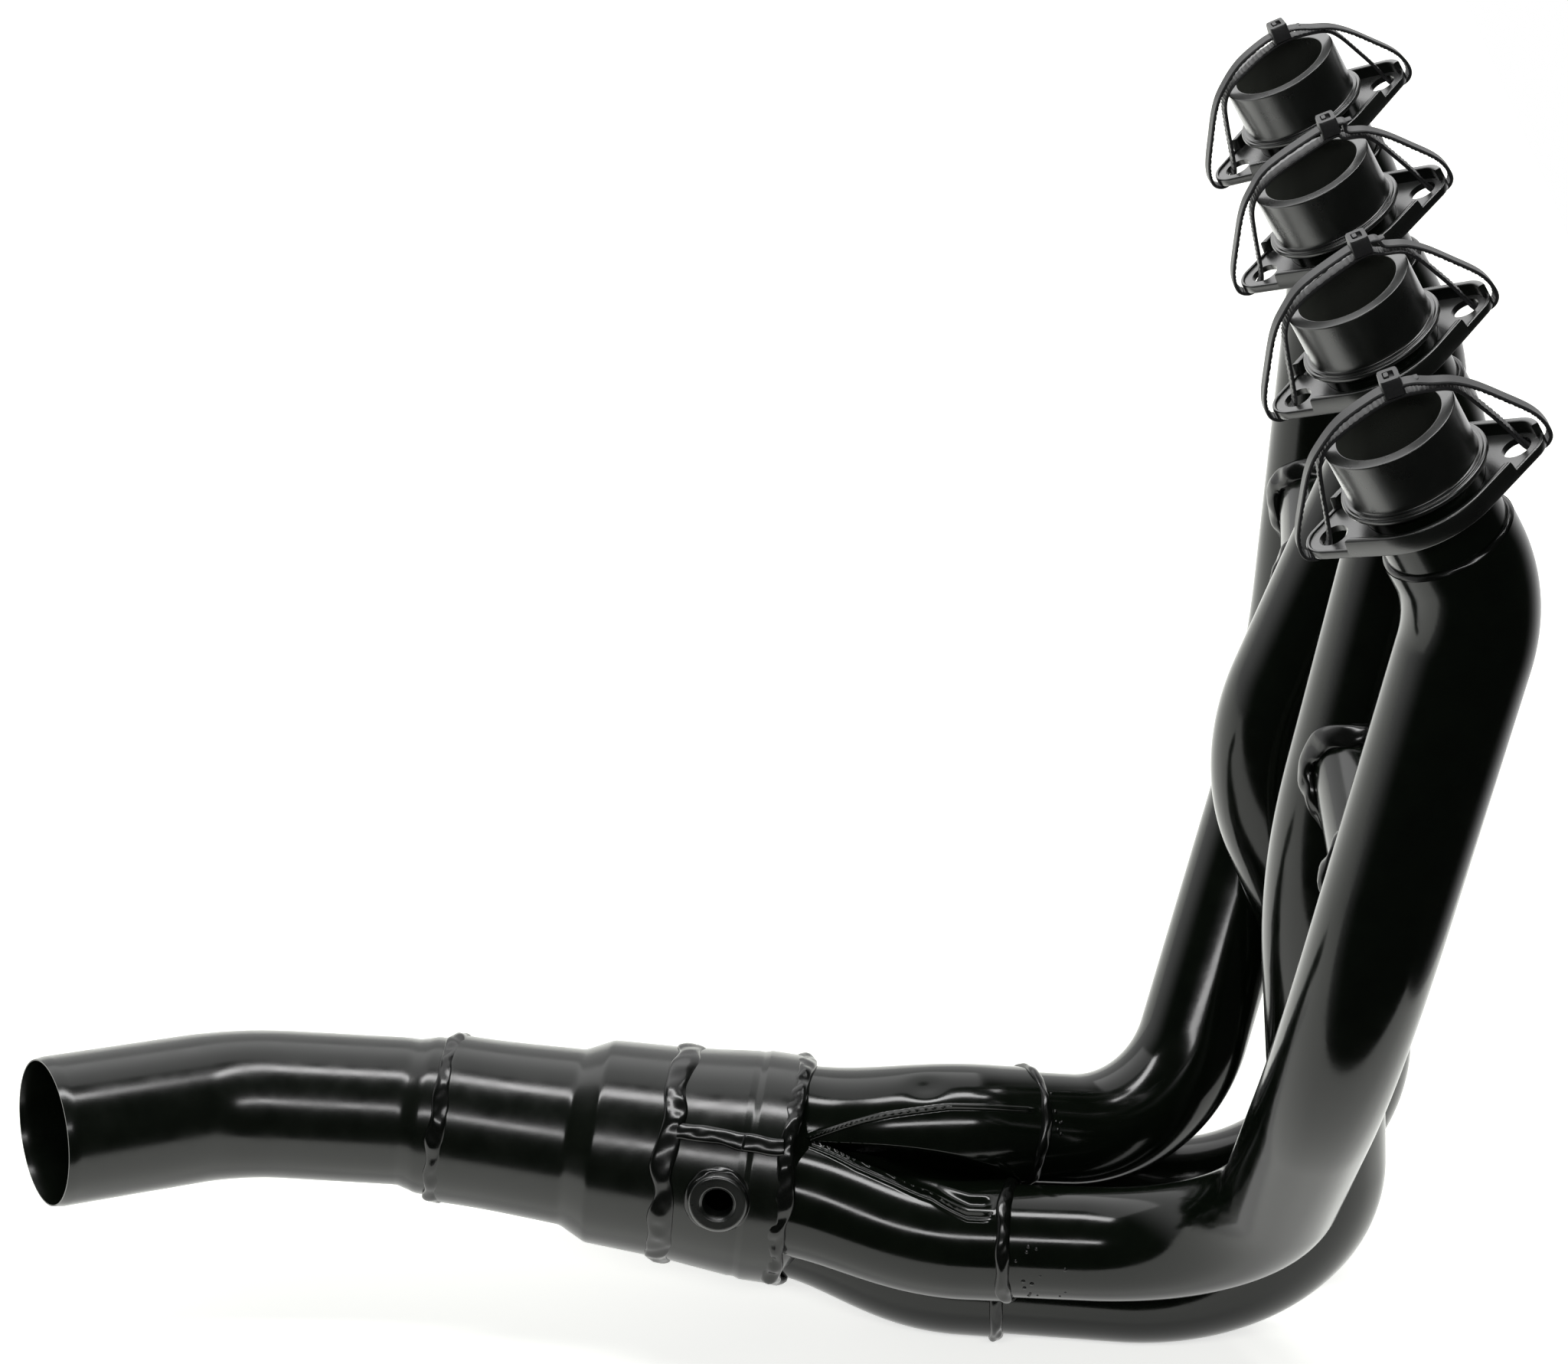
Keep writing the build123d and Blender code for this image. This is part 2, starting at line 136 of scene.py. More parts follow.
def wobble(share: Array, seed: int, lowest: int = 2, highest: int = 9) -> Array:
    """Smooth periodic unevenness: a sum of sines of rising frequency and falling height.

    Args:
        share: Place along a closed run, from 0 to 1.
        seed: Chooses the phases.
        lowest: Fewest waves in the run.
        highest: Most waves in the run.

    Returns:
        Values of about -1 to 1, the same at 0 and 1.
    """
    random = np.random.RandomState(seed)
    counts = np.arange(lowest, highest + 1)
    phases = random.uniform(0, 2 * np.pi, counts.size)
    heights = 1.0 / np.sqrt(counts)
    waves = np.sin(2 * np.pi * np.multiply.outer(share, counts) + phases) * heights
    return waves.sum(axis=-1) / np.sqrt((heights ** 2).sum() / 2) / 1.8


def rounded_route(points: Array, radii: list[float], step: float) -> Array:
    """Straight runs joined by tangent arcs, as points about one step apart.

    Args:
        points: First point, corners and last point.
        radii: Radius of the arc at each corner.
        step: Distance between points along the route.

    Returns:
        Points along the route.
    """
    points = np.asarray(points, float)
    pieces = []
    start = points[0]
    for before, corner, after, radius in zip(points, points[1:], points[2:], radii):
        arriving = unit(corner - before)
        leaving = unit(after - corner)
        turn = math.acos(float(np.clip(arriving @ leaving, -1, 1)))
        reach = radius * math.tan(turn / 2)
        first = corner - arriving * reach
        count = max(2, int(np.linalg.norm(first - start) / step))
        pieces.append(start + (first - start) * np.linspace(0, 1, count, endpoint=False)[:, None])
        inward = unit(leaving - arriving * (arriving @ leaving))
        angle = np.linspace(0, turn, max(4, int(turn * radius / step)), endpoint=False)[:, None]
        pieces.append(first + radius * (inward * (1 - np.cos(angle)) + arriving * np.sin(angle)))
        start = corner + leaving * reach
    count = max(2, int(np.linalg.norm(points[-1] - start) / step))
    pieces.append(start + (points[-1] - start) * np.linspace(0, 1, count)[:, None])
    return np.concatenate(pieces)


def rounded_profile(points: list[Point], step: float) -> Array:
    """Closed profile whose corners are rounded.

    Args:
        points: Radius, height and corner radius of each corner in order.
        step: Distance between points along the profile.

    Returns:
        Points of the profile, the first not repeated.
    """
    given = np.asarray(points, float)
    middle = (given[0, :2] + given[-1, :2]) / 2
    corners = np.concatenate([[middle], given[:, :2], [middle]])
    return rounded_route(corners, list(given[:, 2]), step)[:-1]


def closed_curve(points: Array, per_span: int) -> Array:
    """Smooth closed curve through points: each span is the cubic set by its four nearest points.

    Args:
        points: Points in order round the loop.
        per_span: Points made between two given ones.

    Returns:
        Points round the loop, the first not repeated.
    """
    t = np.linspace(0, 1, per_span, endpoint=False)[None, :, None]
    a, b, c, d = (np.roll(points, shift, axis=0)[:, None, :] for shift in (1, 0, -1, -2))
    curve = b + 0.5 * t * (c - a + t * (2 * a - 5 * b + 4 * c - d + t * (3 * (b - c) + d - a)))
    return curve.reshape(-1, points.shape[1])


def carried_frames(
    path: Array, reference: Array, closed: bool = False
) -> tuple[Array, Array]:
    """Two directions across a path, the first as near as it can be to a reference.

    Args:
        path: Points along the path.
        reference: Direction that is never along the path, one or one per point.
        closed: Whether the last point leads back to the first.

    Returns:
        The two directions at each point.
    """
    along = (np.roll(path, -1, 0) - np.roll(path, 1, 0)) if closed else np.gradient(path, axis=0)
    along = unit(along)
    first = np.broadcast_to(reference, path.shape)
    first = unit(first - along * (first * along).sum(-1, keepdims=True))
    return first, np.cross(along, first)


def ring_angles(count: int) -> Array:
    """Evenly spaced angles round a full turn."""
    return np.linspace(0, 2 * np.pi, count, endpoint=False)


def tube_grid(path: Array, radius: Values, count: int, reference: Array) -> Array:
    """Round tube: circles of a radius carried along a path.

    Args:
        path: Points along the centreline.
        radius: Radius, one or one per point.
        count: Points round each circle.
        reference: Direction that is never along the path.

    Returns:
        Grid of points, path by circle.
    """
    first, second = carried_frames(path, reference)
    angle = ring_angles(count)[None, :, None]
    radius = np.broadcast_to(np.asarray(radius, float), path.shape[:1])[:, None, None]
    return path[:, None] + radius * (np.cos(angle) * first[:, None] + np.sin(angle) * second[:, None])


@dataclass(frozen=True)
class Seat:
    """Place and directions of a turned piece: z is its axis."""

    origin: Array
    x: Array
    y: Array
    z: Array

    def at(self, x: Values, y: Values, z: Values) -> Array:
        """Points of this seat's own coordinates, in the header's frame."""
        x, y, z = np.broadcast_arrays(np.asarray(x, float), np.asarray(y, float), np.asarray(z, float))
        return self.origin + x[..., None] * self.x + y[..., None] * self.y + z[..., None] * self.z

    def ring(self, radius: Values, angle: Array, height: Values) -> Array:
        """Points at a radius from z, an angle from x and a height."""
        return self.at(radius * np.cos(angle), radius * np.sin(angle), height)

    def spoke(self, angle: Values) -> Array:
        """Direction away from z at an angle from x."""
        return np.multiply.outer(np.cos(angle), self.x) + np.multiply.outer(np.sin(angle), self.y)

    def turned(self, profile: Array, count: int) -> Array:
        """Profile of (radius, height) points turned about z in a number of steps, turn by profile."""
        return self.ring(profile[:, 0], ring_angles(count)[:, None], profile[:, 1])


def seat_along(origin: Array, aim: Array, reference: Array) -> Seat:
    """Seat whose z is an aim and whose x is as near as it can be to a reference."""
    x = unit(reference - aim * (reference @ aim))
    return Seat(origin, x, np.cross(aim, x), aim)


def port_seat(index: int) -> Seat:
    """Seat at the mouth of a port, counted from 0: x to the upper stud, z out of the mouth."""
    rise, run = math.sin(math.radians(PORT_TILT)), math.cos(math.radians(PORT_TILT))
    return Seat(Y_AXIS * PORT_PITCH * index, np.array([run, 0, rise]), Y_AXIS, np.array([-rise, 0, run]))


@dataclass
class Surface:
    """Grids gathered into one mesh."""

    points: list[Array] = field(default_factory=list)
    faces: list[Array] = field(default_factory=list)
    count: int = 0

    def add(self, grid: Array, close_rows: bool = True, close_columns: bool = True) -> "Surface":
        """Add a grid of points as four-sided faces.

        Args:
            grid: Points, rows by columns by three.
            close_rows: Whether the last row leads back to the first.
            close_columns: Whether the last column leads back to the first.

        Returns:
            This surface.
        """
        rows, columns = grid.shape[:2]
        index = np.arange(rows * columns).reshape(rows, columns) + self.count
        if close_rows:
            index = np.concatenate([index, index[:1]], axis=0)
        if close_columns:
            index = np.concatenate([index, index[:, :1]], axis=1)
        quads = np.stack([index[:-1, :-1], index[1:, :-1], index[1:, 1:], index[:-1, 1:]], axis=-1)
        self.points.append(grid.reshape(-1, 3))
        self.faces.append(quads.reshape(-1, 4))
        self.count += rows * columns
        return self

    def mesh(self, name: str, sharp: Sharp) -> Mesh:
        """Make the mesh in metres, with doubles merged, faces outwards and smooth edges.

        Args:
            name: Name of the mesh.
            sharp: Which edges stay sharp.

        Returns:
            The mesh.
        """
        mesh = bpy.data.meshes.new(name)
        points = np.concatenate(self.points) * MM
        mesh.from_pydata(points.tolist(), [], np.concatenate(self.faces).tolist())
        work = bmesh.new()
        work.from_mesh(mesh)
        bmesh.ops.remove_doubles(work, verts=work.verts, dist=1e-6)
        bmesh.ops.recalc_face_normals(work, faces=work.faces)
        work.to_mesh(mesh)
        work.free()
        smooth(mesh, sharp)
        return mesh


def smooth(mesh: Mesh, sharp: Sharp) -> None:
    """Shade a mesh smooth apart from its sharp edges."""
    mesh.polygons.foreach_set("use_smooth", np.ones(len(mesh.polygons), bool))
    mesh.set_sharp_from_angle(angle=math.radians(sharp.value))


def mark_bore_sheen(mesh: Mesh, seat: Seat, bore: float, margin: float = 0.2) -> None:
    """Mark where a pipe's bore is drawn paler, a painted sheen of light on its inner wall: inside a pipe,
    within its bore.

    Args:
        mesh: Mesh of a turned piece.
        seat: Seat of the piece.
        bore: Radius of the bore.
        margin: Distance past the bore that still counts as inside.
    """
    places = np.empty(len(mesh.vertices) * 3)
    mesh.vertices.foreach_get("co", places)
    local = places.reshape(-1, 3) / MM - seat.origin
    reach = np.hypot(local @ seat.x, local @ seat.y)
    mark = mesh.attributes.new(BORE_SHEEN, "FLOAT", "POINT")
    mark.data.foreach_set("value", (reach < bore + margin).astype(np.float32))


def put(name: str, data: ID) -> Object:
    """New object of a mesh, light or camera, in the scene.

    Args:
        name: Name of the object.
        data: What it shows.

    Returns:
        The object.
    """
    item = bpy.data.objects.new(name, data)
    bpy.context.scene.collection.objects.link(item)
    return item


def rod(seat: Seat, radius: float, low: float, high: float) -> Surface:
    """Closed rod about a seat's z from a low to a high end, for cutting a hole."""
    profile = np.array([(PIN, low), (radius, low), (radius, high), (PIN, high)])
    return Surface().add(seat.turned(profile, count=64), close_columns=False)


def cut_with_rods(mesh: Mesh, rods: list[Surface], sharp: Sharp) -> Mesh:
    """Cut rods out of a closed mesh.

    Args:
        mesh: The blank.
        rods: Closed surfaces to take away.
        sharp: Which edges stay sharp.

    Returns:
        The cut mesh.
    """
    blank = put("blank", mesh)
    cutters = [put("rod", item.mesh("rod", Sharp.ROD)) for item in rods]
    for cutter in cutters:
        cut = blank.modifiers.new("hole", "BOOLEAN")
        cut.object = cutter
        cut.operation = "DIFFERENCE"
        cut.solver = "EXACT"
    bpy.context.view_layer.update()
    graph = bpy.context.evaluated_depsgraph_get()
    result = bpy.data.meshes.new_from_object(blank.evaluated_get(graph))
    for spare in (blank, *cutters):
        bpy.data.objects.remove(spare)
    smooth(result, sharp)
    return result


def wire(tree: NodeTree, node: Node, settings: dict, links: dict) -> Node:
    """Set a node's values and link its inputs.

    Args:
        tree: Node tree of a material or the world.
        node: The node.
        settings: Attribute or input name to value.
        links: Input name to the source node and its output name.

    Returns:
        The node.
    """
    for key, value in settings.items():
        if isinstance(key, str) and hasattr(node, key):
            setattr(node, key, value)
        else:
            node.inputs[key].default_value = value
    for key, (source, output) in links.items():
        tree.links.new(source.outputs[output], node.inputs[key])
    return node


def add_node(tree: NodeTree, kind: str, settings: dict, links: dict) -> Node:
    """Add one node of a kind with its settings and the links into it."""
    return wire(tree, tree.nodes.new(kind), settings, links)


def noise(tree: NodeTree, size_mm: float, detail: float) -> Source:
    """Noise in the header's own coordinates, with a grain of about a size and finer detail in it."""
    place = add_node(tree, "ShaderNodeTexCoord", {}, {})
    settings = {"Scale": 1 / (size_mm * MM), "Detail": detail}
    return add_node(tree, "ShaderNodeTexNoise", settings, {"Vector": (place, "Object")}), "Fac"


def relief(
    tree: NodeTree, height: Source, depth_mm: float, strength: float = 1.0, under: Source | None = None
) -> Source:
    """Normal of a pattern's fine relief, of a depth and a strength, on the relief under it if any."""
    links = {"Height": height} if under is None else {"Height": height, "Normal": under}
    settings = {"Strength": strength, "Distance": depth_mm * MM}
    return add_node(tree, "ShaderNodeBump", settings, links), "Normal"


def blend(tree: NodeTree, share: Source, first: str | Source, second: str) -> Source:
    """Colour that goes from one to another.

    Args:
        tree: Node tree of a material.
        share: Pattern that is 0 for the first colour and 1 for the second.
        first: Hex code, or a colour made before.
        second: Hex code.

    Returns:
        The colour.
    """
    settings = {"data_type": "RGBA", 7: linear_colour(second)}
    links = {0: share}
    if isinstance(first, str):
        settings[6] = linear_colour(first)
    else:
        links[6] = first
    return add_node(tree, "ShaderNodeMix", settings, links), 2


def varied(tree: NodeTree, pattern: Source, low: float, high: float) -> Source:
    """Value from low to high over the middle of a noise pattern's range."""
    settings = {"From Min": 0.3, "From Max": 0.7, "To Min": low, "To Max": high}
    return add_node(tree, "ShaderNodeMapRange", settings, {"Value": pattern}), "Result"


def new_material(name: str) -> tuple[Material, Node]:
    """New material of a name, and its shader."""
    material = bpy.data.materials.new(name)
    material.use_nodes = True
    return material, material.node_tree.nodes["Principled BSDF"]


@dataclass(frozen=True)
class Finish:
    """A material and the slot of the record that it answers to, if there is one."""

    material: Material
    slot: Slot | None


@dataclass(frozen=True)
class Paint:
    """Sprayed black paint on steel: a smooth film whose flow leaves a fine orange peel and slow waves."""

    name: str
    slot: Slot
    colour: str
    pale: str
    ior: float
    roughness: float
    peel_mm: float
    peel_depth_mm: float
    wave_mm: float
    wave_depth_mm: float
    coat: float = 0.0
    coat_roughness: float = 0.1
    dust_mm: float = 9.0
    # Paler colour drawn in pipe bores: a painted sheen of light on the inner wall.
    bore_sheen_colour: str = "#30322e"

    def finish(self) -> Finish:
        """Build the paint: a mottled dark base, paler in marked bores as a painted sheen, under a coat if it
        has one, with its relief in the normal.

        Returns:
            The finish.
        """
        material, shader = new_material(self.name)
        tree = material.node_tree
        slow = relief(tree, noise(tree, self.wave_mm, detail=1.0), self.wave_depth_mm)
        fine = relief(tree, noise(tree, self.peel_mm, detail=2.0), self.peel_depth_mm, under=slow)
        dust = noise(tree, self.dust_mm, detail=6.0)
        # Painted sheen: the base colour goes paler where the bore is marked.
        bore_sheen_mask = add_node(tree, "ShaderNodeAttribute", {"attribute_name": BORE_SHEEN}, {})
        film = blend(tree, dust, self.colour, self.pale)
        settings = {"IOR": self.ior, "Coat Weight": self.coat, "Coat Roughness": self.coat_roughness}
        wire(tree, shader, settings, {
            "Base Color": blend(tree, (bore_sheen_mask, "Fac"), film, self.bore_sheen_colour),
            "Roughness": varied(tree, dust, self.roughness * 0.85, self.roughness * 1.2),
            "Normal": fine,
            "Coat Normal": fine,
        })
        return Finish(material, self.slot)


@dataclass(frozen=True)
class Nylon:
    """Moulded black nylon: a soft low gloss with a faint moulding grain."""

    name: str
    colour: str
    pale: str
    ior: float
    roughness: float
    grain_mm: float
    grain_depth_mm: float

    def finish(self) -> Finish:
        """Build the nylon: a dark colour, a broad highlight and a fine grain in the normal.

        Returns:
            The finish.
        """
        material, shader = new_material(self.name)
        tree = material.node_tree
        grain = noise(tree, self.grain_mm, detail=3.0)
        wire(tree, shader, {"IOR": self.ior}, {
            "Base Color": blend(tree, grain, self.colour, self.pale),
            "Roughness": varied(tree, grain, self.roughness * 0.9, self.roughness * 1.1),
            "Normal": relief(tree, grain, self.grain_depth_mm, strength=0.5),
        })
        return Finish(material, None)


@dataclass(frozen=True)
class Finishes:
    """Every finish of the header, made once."""

    gloss: Finish
    semigloss: Finish
    satin: Finish
    weld: Finish
    nylon: Finish


def make_finishes() -> Finishes:
    """Build the paints and the nylon.

    Returns:
        The finishes by name.
    """
    # Gloss paint sprayed on smooth bent tube: deep black with narrow, clean highlight lines.
    gloss = Paint(
        "gloss_black_paint_sprayed", Slot.GLOSS, "#050805", "#0b100a", ior=1.42, roughness=0.13,
        peel_mm=1.6, peel_depth_mm=0.006, wave_mm=24.0, wave_depth_mm=0.03,
    )
    # The same paint sprayed drier on drawn sheet and the outlet: broader, milkier highlights.
    semigloss = replace(
        gloss, name="semigloss_black_paint_sprayed", colour="#060906", pale="#0d120c", ior=1.5, roughness=0.2
    )
    # Paint sprayed on turned and pressed faces: a satin grey cast under a soft clear film, with a fine grit.
    satin = Paint(
        "satin_black_paint_sprayed", Slot.SATIN, "#070907", "#101310", ior=1.5, roughness=0.3,
        peel_mm=0.5, peel_depth_mm=0.02, wave_mm=18.0, wave_depth_mm=0.02, coat=1.0, coat_roughness=0.26,
    )
    # Paint that ran together over rough weld: wet-looking black that sparkles on every lump.
    weld = Paint(
        "gloss_black_paint_over_weld", Slot.WELD, "#050705", "#0b0d0b", ior=1.5, roughness=0.2,
        peel_mm=1.4, peel_depth_mm=0.02, wave_mm=6.0, wave_depth_mm=0.08,
    )
    # Nylon moulded in one piece: dark grey-black with a dull, even sheen. Its grain is drawn coarser than
    # the real one, so that it shows at this distance.
    nylon = Nylon(
        "black_nylon_moulded", "#1a1b1a", "#2a2a2c", ior=1.53, roughness=0.38,
        grain_mm=0.5, grain_depth_mm=0.03,
    )
    return Finishes(gloss.finish(), semigloss.finish(), satin.finish(), weld.finish(), nylon.finish())


def add_piece(name: str, mesh: Mesh, finish: Finish, *nodes: str) -> None:
    """Put a mesh into the scene as a piece of the header.

    Args:
        name: Name of the piece.
        mesh: Its mesh, in place.
        finish: Its finish.
        nodes: Nodes of the frame that it stands for.
    """
    piece = put(name, mesh)
    mesh.materials.append(finish.material)
    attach(piece, "root")
    if nodes:
        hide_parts(*nodes)
    LOG.info("%s: %d faces", name, len(mesh.polygons))


def add_closed(name: str, grid: Array, sharp: Sharp, finish: Finish, *nodes: str) -> None:
    """Put a grid that closes both ways into the scene as a piece of the header."""
    add_piece(name, Surface().add(grid).mesh(name, sharp), finish, *nodes)


@dataclass(frozen=True)
class Bead:
    """Lumpy weld bead: an oval carried along a path, whose height, width and place wander.

    The seed chooses the unevenness, and uneven says how strong it is. The lengths in mm are those of the slow
    swells, of the blobs and of the blobs' lean. The shares after them are parts of the bead's own size.
    """

    width: float
    height: float
    seed: int
    uneven: float
    swell_mm: float = 60.0
    blob_mm: float = 14.0
    lean_mm: float = 3.0
    mean: float = 0.9
    lowest: float = 0.3
    swell: float = 0.24
    blob: float = 0.13
    spread: float = 0.2
    wander: float = 0.1
    fullness: float = 0.75

    def grid(self, path: Array, up: Array, closed: bool) -> Array:
        """Surface of the bead.

        Slow waves swell and shift the oval. Two quicker ones that lean opposite ways cross in blobs.

        Args:
            path: Points along the joint.
            up: Direction away from the joint at each point.
            closed: Whether the joint runs all the way round.

        Returns:
            Grid of points, path by oval.
        """
        first, second = carried_frames(path, up, closed)
        ends = np.roll(path, -1, 0) if closed else np.concatenate([path[1:], path[-1:]])
        lengths = np.linalg.norm(ends - path, axis=1)
        total = lengths.sum()
        share = (np.concatenate([[0], np.cumsum(lengths)[:-1]]) / total)[:, None]
        turn = ring_angles(20)[None, :]
        seed = self.seed
        few = max(1, round(total / self.swell_mm))
        some = max(3, round(total / self.blob_mm))
        lean = self.lean_mm / total * np.cos(turn)
        blobs = wobble(share + lean, seed + 3, some, 2 * some)
        blobs = blobs + wobble(share - lean, seed + 5, some, 2 * some)
        lumps = self.swell * wobble(share, seed, few, some) + self.blob * blobs
        swell = np.maximum(self.mean + self.uneven * lumps, self.lowest)
        skew = wobble(share, seed + 1, few, some) + np.cos(turn) * wobble(share, seed + 4, few, some)
        broad = 1 + self.spread * self.uneven * skew
        wander = self.wander * self.uneven * self.width * wobble(share, seed + 2, few, 2 * few + 2)
        sideways = self.width / 2 * broad * np.cos(turn) + wander
        upwards = self.height * swell * np.sign(np.sin(turn)) * np.abs(np.sin(turn)) ** self.fullness
        return path[:, None] + sideways[..., None] * second[:, None] + upwards[..., None] * first[:, None]

    def lay(
        self, name: str, finish: Finish, path: Array, up: Array, *nodes: str, closed: bool = True
    ) -> None:
        """Put the bead along a path into the scene as a piece that stands for some nodes."""
        surface = Surface().add(self.grid(path, up, closed), close_rows=closed)
        add_piece(name, surface.mesh(name, Sharp.BEAD), finish, *nodes)


def rounded_block(
    seat: Seat, centre: Point, half: Point, power: float, count: int, levels: tuple[tuple[float, float], ...]
) -> Array:
    """Block whose plan is a rounded square: a circle with its cosine and sine raised to a power below 1.

    Args:
        seat: Seat that the block stands in.
        centre: Its centre there.
        half: Half its length and width, and the unit of its heights.
        power: The power; the smaller, the squarer.
        count: Points round the plan.
        levels: Height and scale of the plan at each level, from the underside to the top.

    Returns:
        Grid of points, plan by level.
    """
    angle = ring_angles(count)[:, None]
    x, y = (np.sign(wave) * np.abs(wave) ** power for wave in (np.cos(angle), np.sin(angle)))
    heights, scale = np.array(levels).T
    return seat.at(
        centre[0] + half[0] * scale * x, centre[1] + half[1] * scale * y, centre[2] + half[2] * heights
    )


@dataclass
class PortEnd:
    """One port: turned spigot, stub, loose flange, slip-joint bead and the tie that lashes the flange up."""

    index: int
    clock: float
    tie_head: float
    finishes: Finishes
    spigot_od: float = 39.4
    mouth_wall: float = 3.9
    spigot_length: float = 17.0
    collar_od: float = 44.2
    collar_thickness: float = 2.2
    collar_step: float = 0.45
    stub_od: float = 36.8
    stub_wall: float = 1.5
    stub_reach: float = 48.0
    half_width: float = 25.2
    tip_radius: float = 8.3
    plate: float = 2.0
    hang: float = 6.2
    rim_rise: float = 4.2
    lip_rise: float = 0.8
    lip_wall: float = 1.2
    rim_wall: float = 2.0
    rim_reach: float = 24.6
    far_reach: float = 35.9
    rim_step: float = 0.5
    stud_spacing: float = 56.4
    stud_hole: float = 8.8
    strap_width: float = 4.8
    strap_thickness: float = 1.1
    strap_sway: float = 0.9
    teeth: int = 190
    tooth_depth: float = 0.18
    head_slope: float = -8.0

    def __post_init__(self) -> None:
        """Work out the port's seat, and the flange's, which is clocked about the port's axis."""
        self.number = self.index + 1
        self.seat = port_seat(self.index)
        turn = math.radians(self.clock)
        y = self.seat.y * math.cos(turn) - self.seat.x * math.sin(turn)
        self.flange_seat = Seat(self.seat.origin, self.seat.spoke(turn), y, self.seat.z)
        self.collar_end = self.spigot_length + self.collar_thickness

    def spigot(self) -> None:
        """Turned ring: thin wall, small radii at the mouth and a rounded collar at the foot."""
        outer = self.spigot_od / 2
        bore = outer - self.mouth_wall
        collar = self.collar_od / 2
        foot = -self.spigot_length
        profile = rounded_profile([
            (bore, -self.collar_end, 0.1),
            (bore, 0, 0.25),
            (outer, 0, 0.3),
            (outer, foot, 0.5),
            (collar - 1.1, foot, 0.3),
            (collar - 1.0, foot - self.collar_step, 0.2),
            (collar, foot - self.collar_step, 0.6),
            (collar, -self.collar_end, 0.7),
            (self.stub_od / 2, -self.collar_end, 0.1),
        ], step=0.25)
        name = f"port_spigot_turned_{self.number}"
        mesh = Surface().add(self.seat.turned(profile, count=160)).mesh(name, Sharp.TUBE)
        # Marks the bore for the painted sheen on its inner wall.
        mark_bore_sheen(mesh, self.seat, bore)
        add_piece(name, mesh, self.finishes.satin, f"port_spigot_{self.number}")

    def stub(self) -> None:
        """Short pipe from the collar into the primary tube."""
        outer = self.stub_od / 2
        inner = outer - self.stub_wall
        top, end = -self.spigot_length, -self.stub_reach
        corners = ((inner, end), (inner, top), (outer, top), (outer, end))
        profile = rounded_profile([(radius, height, 0.2) for radius, height in corners], step=2.0)
        name = f"port_stub_pipe_{self.number}"
        mesh = Surface().add(self.seat.turned(profile, count=128)).mesh(name, Sharp.TUBE)
        # Marks the bore for the painted sheen on its inner wall.
        mark_bore_sheen(mesh, self.seat, inner)
        add_piece(name, mesh, self.finishes.gloss, f"port_stub_{self.number}")

    def joint_bead(self) -> None:
        """Small bead where the primary tube's end meets the stub."""
        angle = ring_angles(420)
        path = self.seat.ring(self.stub_od / 2 + 0.6, angle, -TUBE_START + 0.3)
        up = self.seat.spoke(angle) + 0.8 * self.seat.z
        bead = Bead(width=2.2, height=0.7, seed=40 + self.index, uneven=0.6)
        bead.lay(f"port_bead_{self.number}", self.finishes.weld, path, up, f"port_weld_{self.number}")

    def outline(self, angle: Array, inset: Values) -> Array:
        """Flange outline as a radius at each angle: round middle, straight sides, round tips.

        Args:
            angle: Angles from the upper stud.
            inset: Distance inside the edge.

        Returns:
            Distance of the outline from the centre.
        """
        middle = self.half_width - inset
        tip = self.tip_radius - inset
        centre = self.stud_spacing / 2
        lean = math.asin((self.half_width - self.tip_radius) / centre)
        along = np.abs(np.cos(angle))
        across = np.abs(np.sin(angle))
        side = middle / (math.sin(lean) * along + math.cos(lean) * across)
        end = centre * along + np.sqrt(np.maximum(tip ** 2 - (centre * across) ** 2, 0))
        touch = np.arctan2(tip * math.cos(lean), centre + tip * math.sin(lean))
        edge = np.where(np.arctan2(across, along) < touch, end, side)
        return np.where(along < math.sin(lean), middle, edge)

    def flange(self) -> None:
        """Pressed plate: a band from the centre hole to the outline whose edge turns up into a rim.

        The band is a profile carried round the outline. Its rim stands tall along the sides and steps down
        to a low lip round the tips.
        """
        angle = ring_angles(960)[:, None]
        hole = self.stub_od / 2 + SLIP
        top = -self.collar_end - self.hang
        base = top - self.plate
        reach = np.abs(self.outline(angle, self.rim_wall / 2) * np.cos(angle))
        limit = np.where((np.sin(angle) > 0) & (np.cos(angle) > 0), self.far_reach, self.rim_reach)
        full = np.clip((limit + self.rim_step / 2 - reach) / self.rim_step, 0, 1)
        full = full * full * (3 - 2 * full)
        crest = top + self.lip_rise + (self.rim_rise - self.lip_rise) * full
        wall = self.lip_wall + (self.rim_wall - self.lip_wall) * full
        low = np.full_like(crest, top)
        bottom = np.full_like(crest, base)
        rows = [
            (0.5, bottom), (0.15, bottom + 0.15), (0.0, bottom + 0.5),
            (0.0, crest - 0.4), (0.12, crest - 0.15), (0.4, crest),
            (wall - 0.4, crest), (wall - 0.12, crest - 0.15), (wall, crest - 0.4),
            (wall, low + 0.2), (wall + 0.1, low + 0.05), (wall + 0.4, low),
        ]
        radii = [self.outline(angle, inset) for inset, _ in rows]
        heights = [height for _, height in rows]
        shares = (0.66, 0.33, 0.0)
        for edge, height, order in ((radii[-1], low, shares), (radii[0], bottom, shares[::-1])):
            radii += [hole + (edge - hole) * share for share in order]
            heights += [height] * len(order)
        radius = np.concatenate(radii, axis=1)
        grid = self.flange_seat.ring(radius, angle, np.concatenate(heights, axis=1))
        name = f"port_flange_pressed_{self.number}"
        rods = [self.stud_rod(end, base) for end in (-1, 1)]
        mesh = cut_with_rods(Surface().add(grid).mesh(name, Sharp.FLANGE), rods, Sharp.FLANGE)
        add_piece(name, mesh, self.finishes.satin, f"port_flange_{self.number}")

